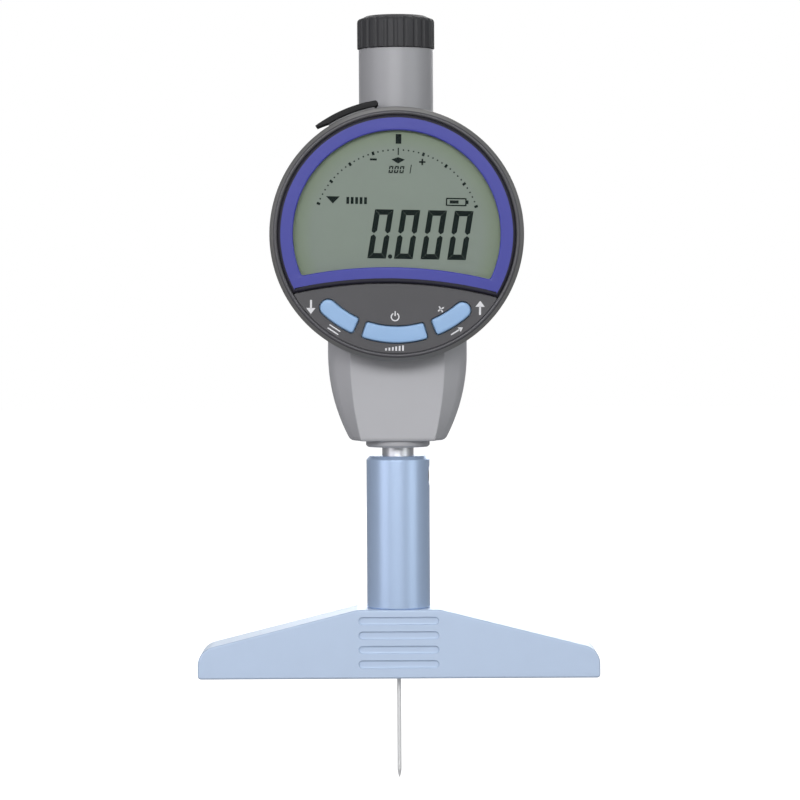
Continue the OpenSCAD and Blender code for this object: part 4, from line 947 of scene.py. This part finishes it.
socket_grey = finish("port_housing_grey", (0.12, 0.12, 0.125), metal=0.3, rough=0.42, grain=0.2, mottle=0.05)
dress("data_socket", socket_grey, 0.12)
hinge = polar((cover_r0 + cover_r1) / 2, cover_from)
tab = [(cover_to + tab_span * i / tab_steps, i / tab_steps) for i in range(tab_steps + 1)]
strip = arc(*hinge, (cover_r1 - cover_r0) / 2, cover_from - 180, cover_from, 8)
strip += arc(0, 0, cover_r1, cover_from, cover_to, 24)[1:]
strip += [polar(cover_r1 + 0.05 * out, angle) for angle, out in tab[1:]]
strip += [polar(cover_r0 + tab_rise + tab_thinning * out, angle) for angle, out in reversed(tab)]
strip += arc(0, 0, cover_r0, cover_to, cover_from, 24)[:-1]
plug_corners = [(-plug_half_w, port_r - plug_depth), (plug_half_w, port_r - plug_depth),
                (plug_half_w, cover_r0 + 0.4), (-plug_half_w, cover_r0 + 0.4)]
plug = [tuple(turn(port_angle - 90) @ Vector((x, y, 0)))[:2] for x, y in plug_corners]
port_mid = (port_back + port_front) / 2
piece("port_cover_rubber", joined(
    plate([(strip, wall(port_back - cover_lap, port_front + cover_lap, 0.2, 0.2, 3))]),
    plate([(plug, wall(port_mid - plug_half_t, port_mid + plug_half_t, 0.1, 0.1, 2))])),
    at_head, rubber, "port_cover", ["port_cover"])

# ---- Needle ----
# A hardened steel needle, 34 mm long and 1 mm thick, ground to a point. A small chuck that screws
# onto the spindle holds it, and 26 mm of it shows below the base.
needle_r, needle_tip, needle_taper, needle_top = 0.5, -26.0, 2.0, 8.0

hard_steel = finish("needle_steel", (0.9, 0.9, 0.9), metal=0.7, rough=0.4, grain=0.1, height=0.0004,
                    mottle=0.03)
piece("needle_ground", turned([
    (0, needle_tip), (0.08, needle_tip + 0.05), (0.3, needle_tip + 0.8),
    (needle_r, needle_tip + needle_taper, 0.4), (needle_r, needle_top), (0, needle_top)], steps=32),
    as_built, hard_steel, "plunger", ["needle"])

# ---- Rear: back cover, screws and battery door ----
# The back cover is turned from the case's alloy, with a step into the case, and four countersunk
# cross-head screws hold it. The battery door screws into its middle with a coin.
cover_back, cover_front, cover_step_r, cover_step = -11.0, -9.5, 24.0, 1.0
door_hole_r, tray_clear_r, sink_r, screw_hole_r = 12.0, 12.7, 1.8, 0.9

back_cover = piece("back_cover_turned", turned([
    (door_hole_r, cover_back, 0.1), (case_r, cover_back, 0.35), (case_r, cover_front, 0.1),
    (cover_step_r, cover_front), (cover_step_r, cover_front + cover_step, 0.15),
    (tray_clear_r, cover_front + cover_step), (tray_clear_r, cover_front),
    (door_hole_r, cover_front)], steps=160),
    at_dial, satin_alloy, "indicator", ["back_cover"])
countersink = turned([
    (0, cover_back - 0.6), (sink_r, cover_back - 0.6), (sink_r - 0.15, cover_back - 0.1),
    (screw_hole_r, cover_back + 0.85), (screw_hole_r, cover_front + 1.5), (0, cover_front + 1.5)], steps=48)
carve(back_cover, *[(countersink, spot) for spot in at_cover_screws])
plated_screw = finish("screw_plated", (0.5, 0.5, 0.52), metal=1.0, rough=0.3, grain=0.1, mottle=0.05)
dress("back_cover_screws", plated_screw, 0.06)
dress("battery_door", satin_alloy, 0.25)
for node in ("back_gasket", "battery_door_seal", "stop_bumper"):
    dress(node, rubber)

# ---- Inside: plunger, guide and spring ----
# Out of sight in the case: the steel spindle with its glass scale, the guide, and the spring that
# draws the plunger out.
for node in ("spindle", "needle_holder", "guide_pin", "head_stop_pin", "spring_post"):
    dress(node, ground_steel, 0.1)
for node in ("head_retaining_ring", "return_spring"):
    dress(node, hard_steel)
bronze = finish("bush_bronze", (0.55, 0.36, 0.16), metal=1.0, rough=0.4, grain=0.15, mottle=0.1)
dress("spindle_bushes", bronze)
dress("guide_rail", brass, 0.1)
bracket_alloy = finish("bracket_alloy", (0.5, 0.5, 0.52), metal=0.8, rough=0.4, grain=0.2, mottle=0.05)
dress("scale_bracket", bracket_alloy, 0.1)
scale_glass = finish("scale_glass", (0.42, 0.5, 0.5), rough=0.1, rub=0.02, grain=0.2, height=0.0, mottle=0.05,
                     stretch=(0.05, 1, 6))
dress("glass_scale", scale_glass)

# ---- Inside: boards and battery ----
# Glass fibre boards with black chips, screwed to posts, a coin cell in a moulded black tray with gold
# plated contacts, the flexible film cable, and the display's nylon holder and striped rubber connector.
board_green = finish("board_green", (0.02, 0.12, 0.06), rough=0.38, rub=0.08, grain=0.5, height=0.01,
                     mottle=0.25, patch=2.0)
chip_black = finish("chip_black", (0.02, 0.02, 0.022), rough=0.5, grain=0.15, mottle=0.15)
for node in ("sensor_board", "main_board"):
    dress(node, board_green)
for node in ("sensor_chip", "board_chips"):
    dress(node, chip_black, 0.05)
for node in ("sensor_screws", "board_screws"):
    dress(node, plated_screw)
tray_black = finish("tray_moulded", (0.035, 0.035, 0.038), rough=0.55, grain=0.25, height=0.006, mottle=0.1)
dress("battery_tray", tray_black, 0.1)
gold = finish("contact_gold", (0.75, 0.55, 0.25), metal=1.0, rough=0.28, grain=0.1, mottle=0.06)
for node in ("battery_contacts", "socket_contacts"):
    dress(node, gold)
cell_steel = finish("cell_steel", (0.6, 0.6, 0.62), metal=1.0, rough=0.25, grain=0.2, mottle=0.05)
dress("coin_cell", cell_steel, 0.2)
wire_red = finish("wire_red", (0.42, 0.02, 0.015), rough=0.4, grain=0.3, mottle=0.1)
dress("battery_leads", wire_red)
film_orange = finish("film_orange", (0.45, 0.2, 0.04), rough=0.3, grain=0.4, mottle=0.15)
dress("flex_cable", film_orange)
white_nylon = finish("white_nylon", (0.68, 0.68, 0.65), rough=0.5, grain=0.3, height=0.004, mottle=0.04)
for node in ("head_friction_washer", "lcd_holder"):
    dress(node, white_nylon)
pink_strip = finish("connector_strip", (0.6, 0.25, 0.3), rough=0.6, grain=0.3, mottle=0.15,
                    stretch=(6, 1, 0.1))
dress("lcd_connector", pink_strip)
switch_cream = finish("switch_cream", (0.6, 0.57, 0.46), rough=0.45, grain=0.3, mottle=0.05)
dress("button_switches", switch_cream)
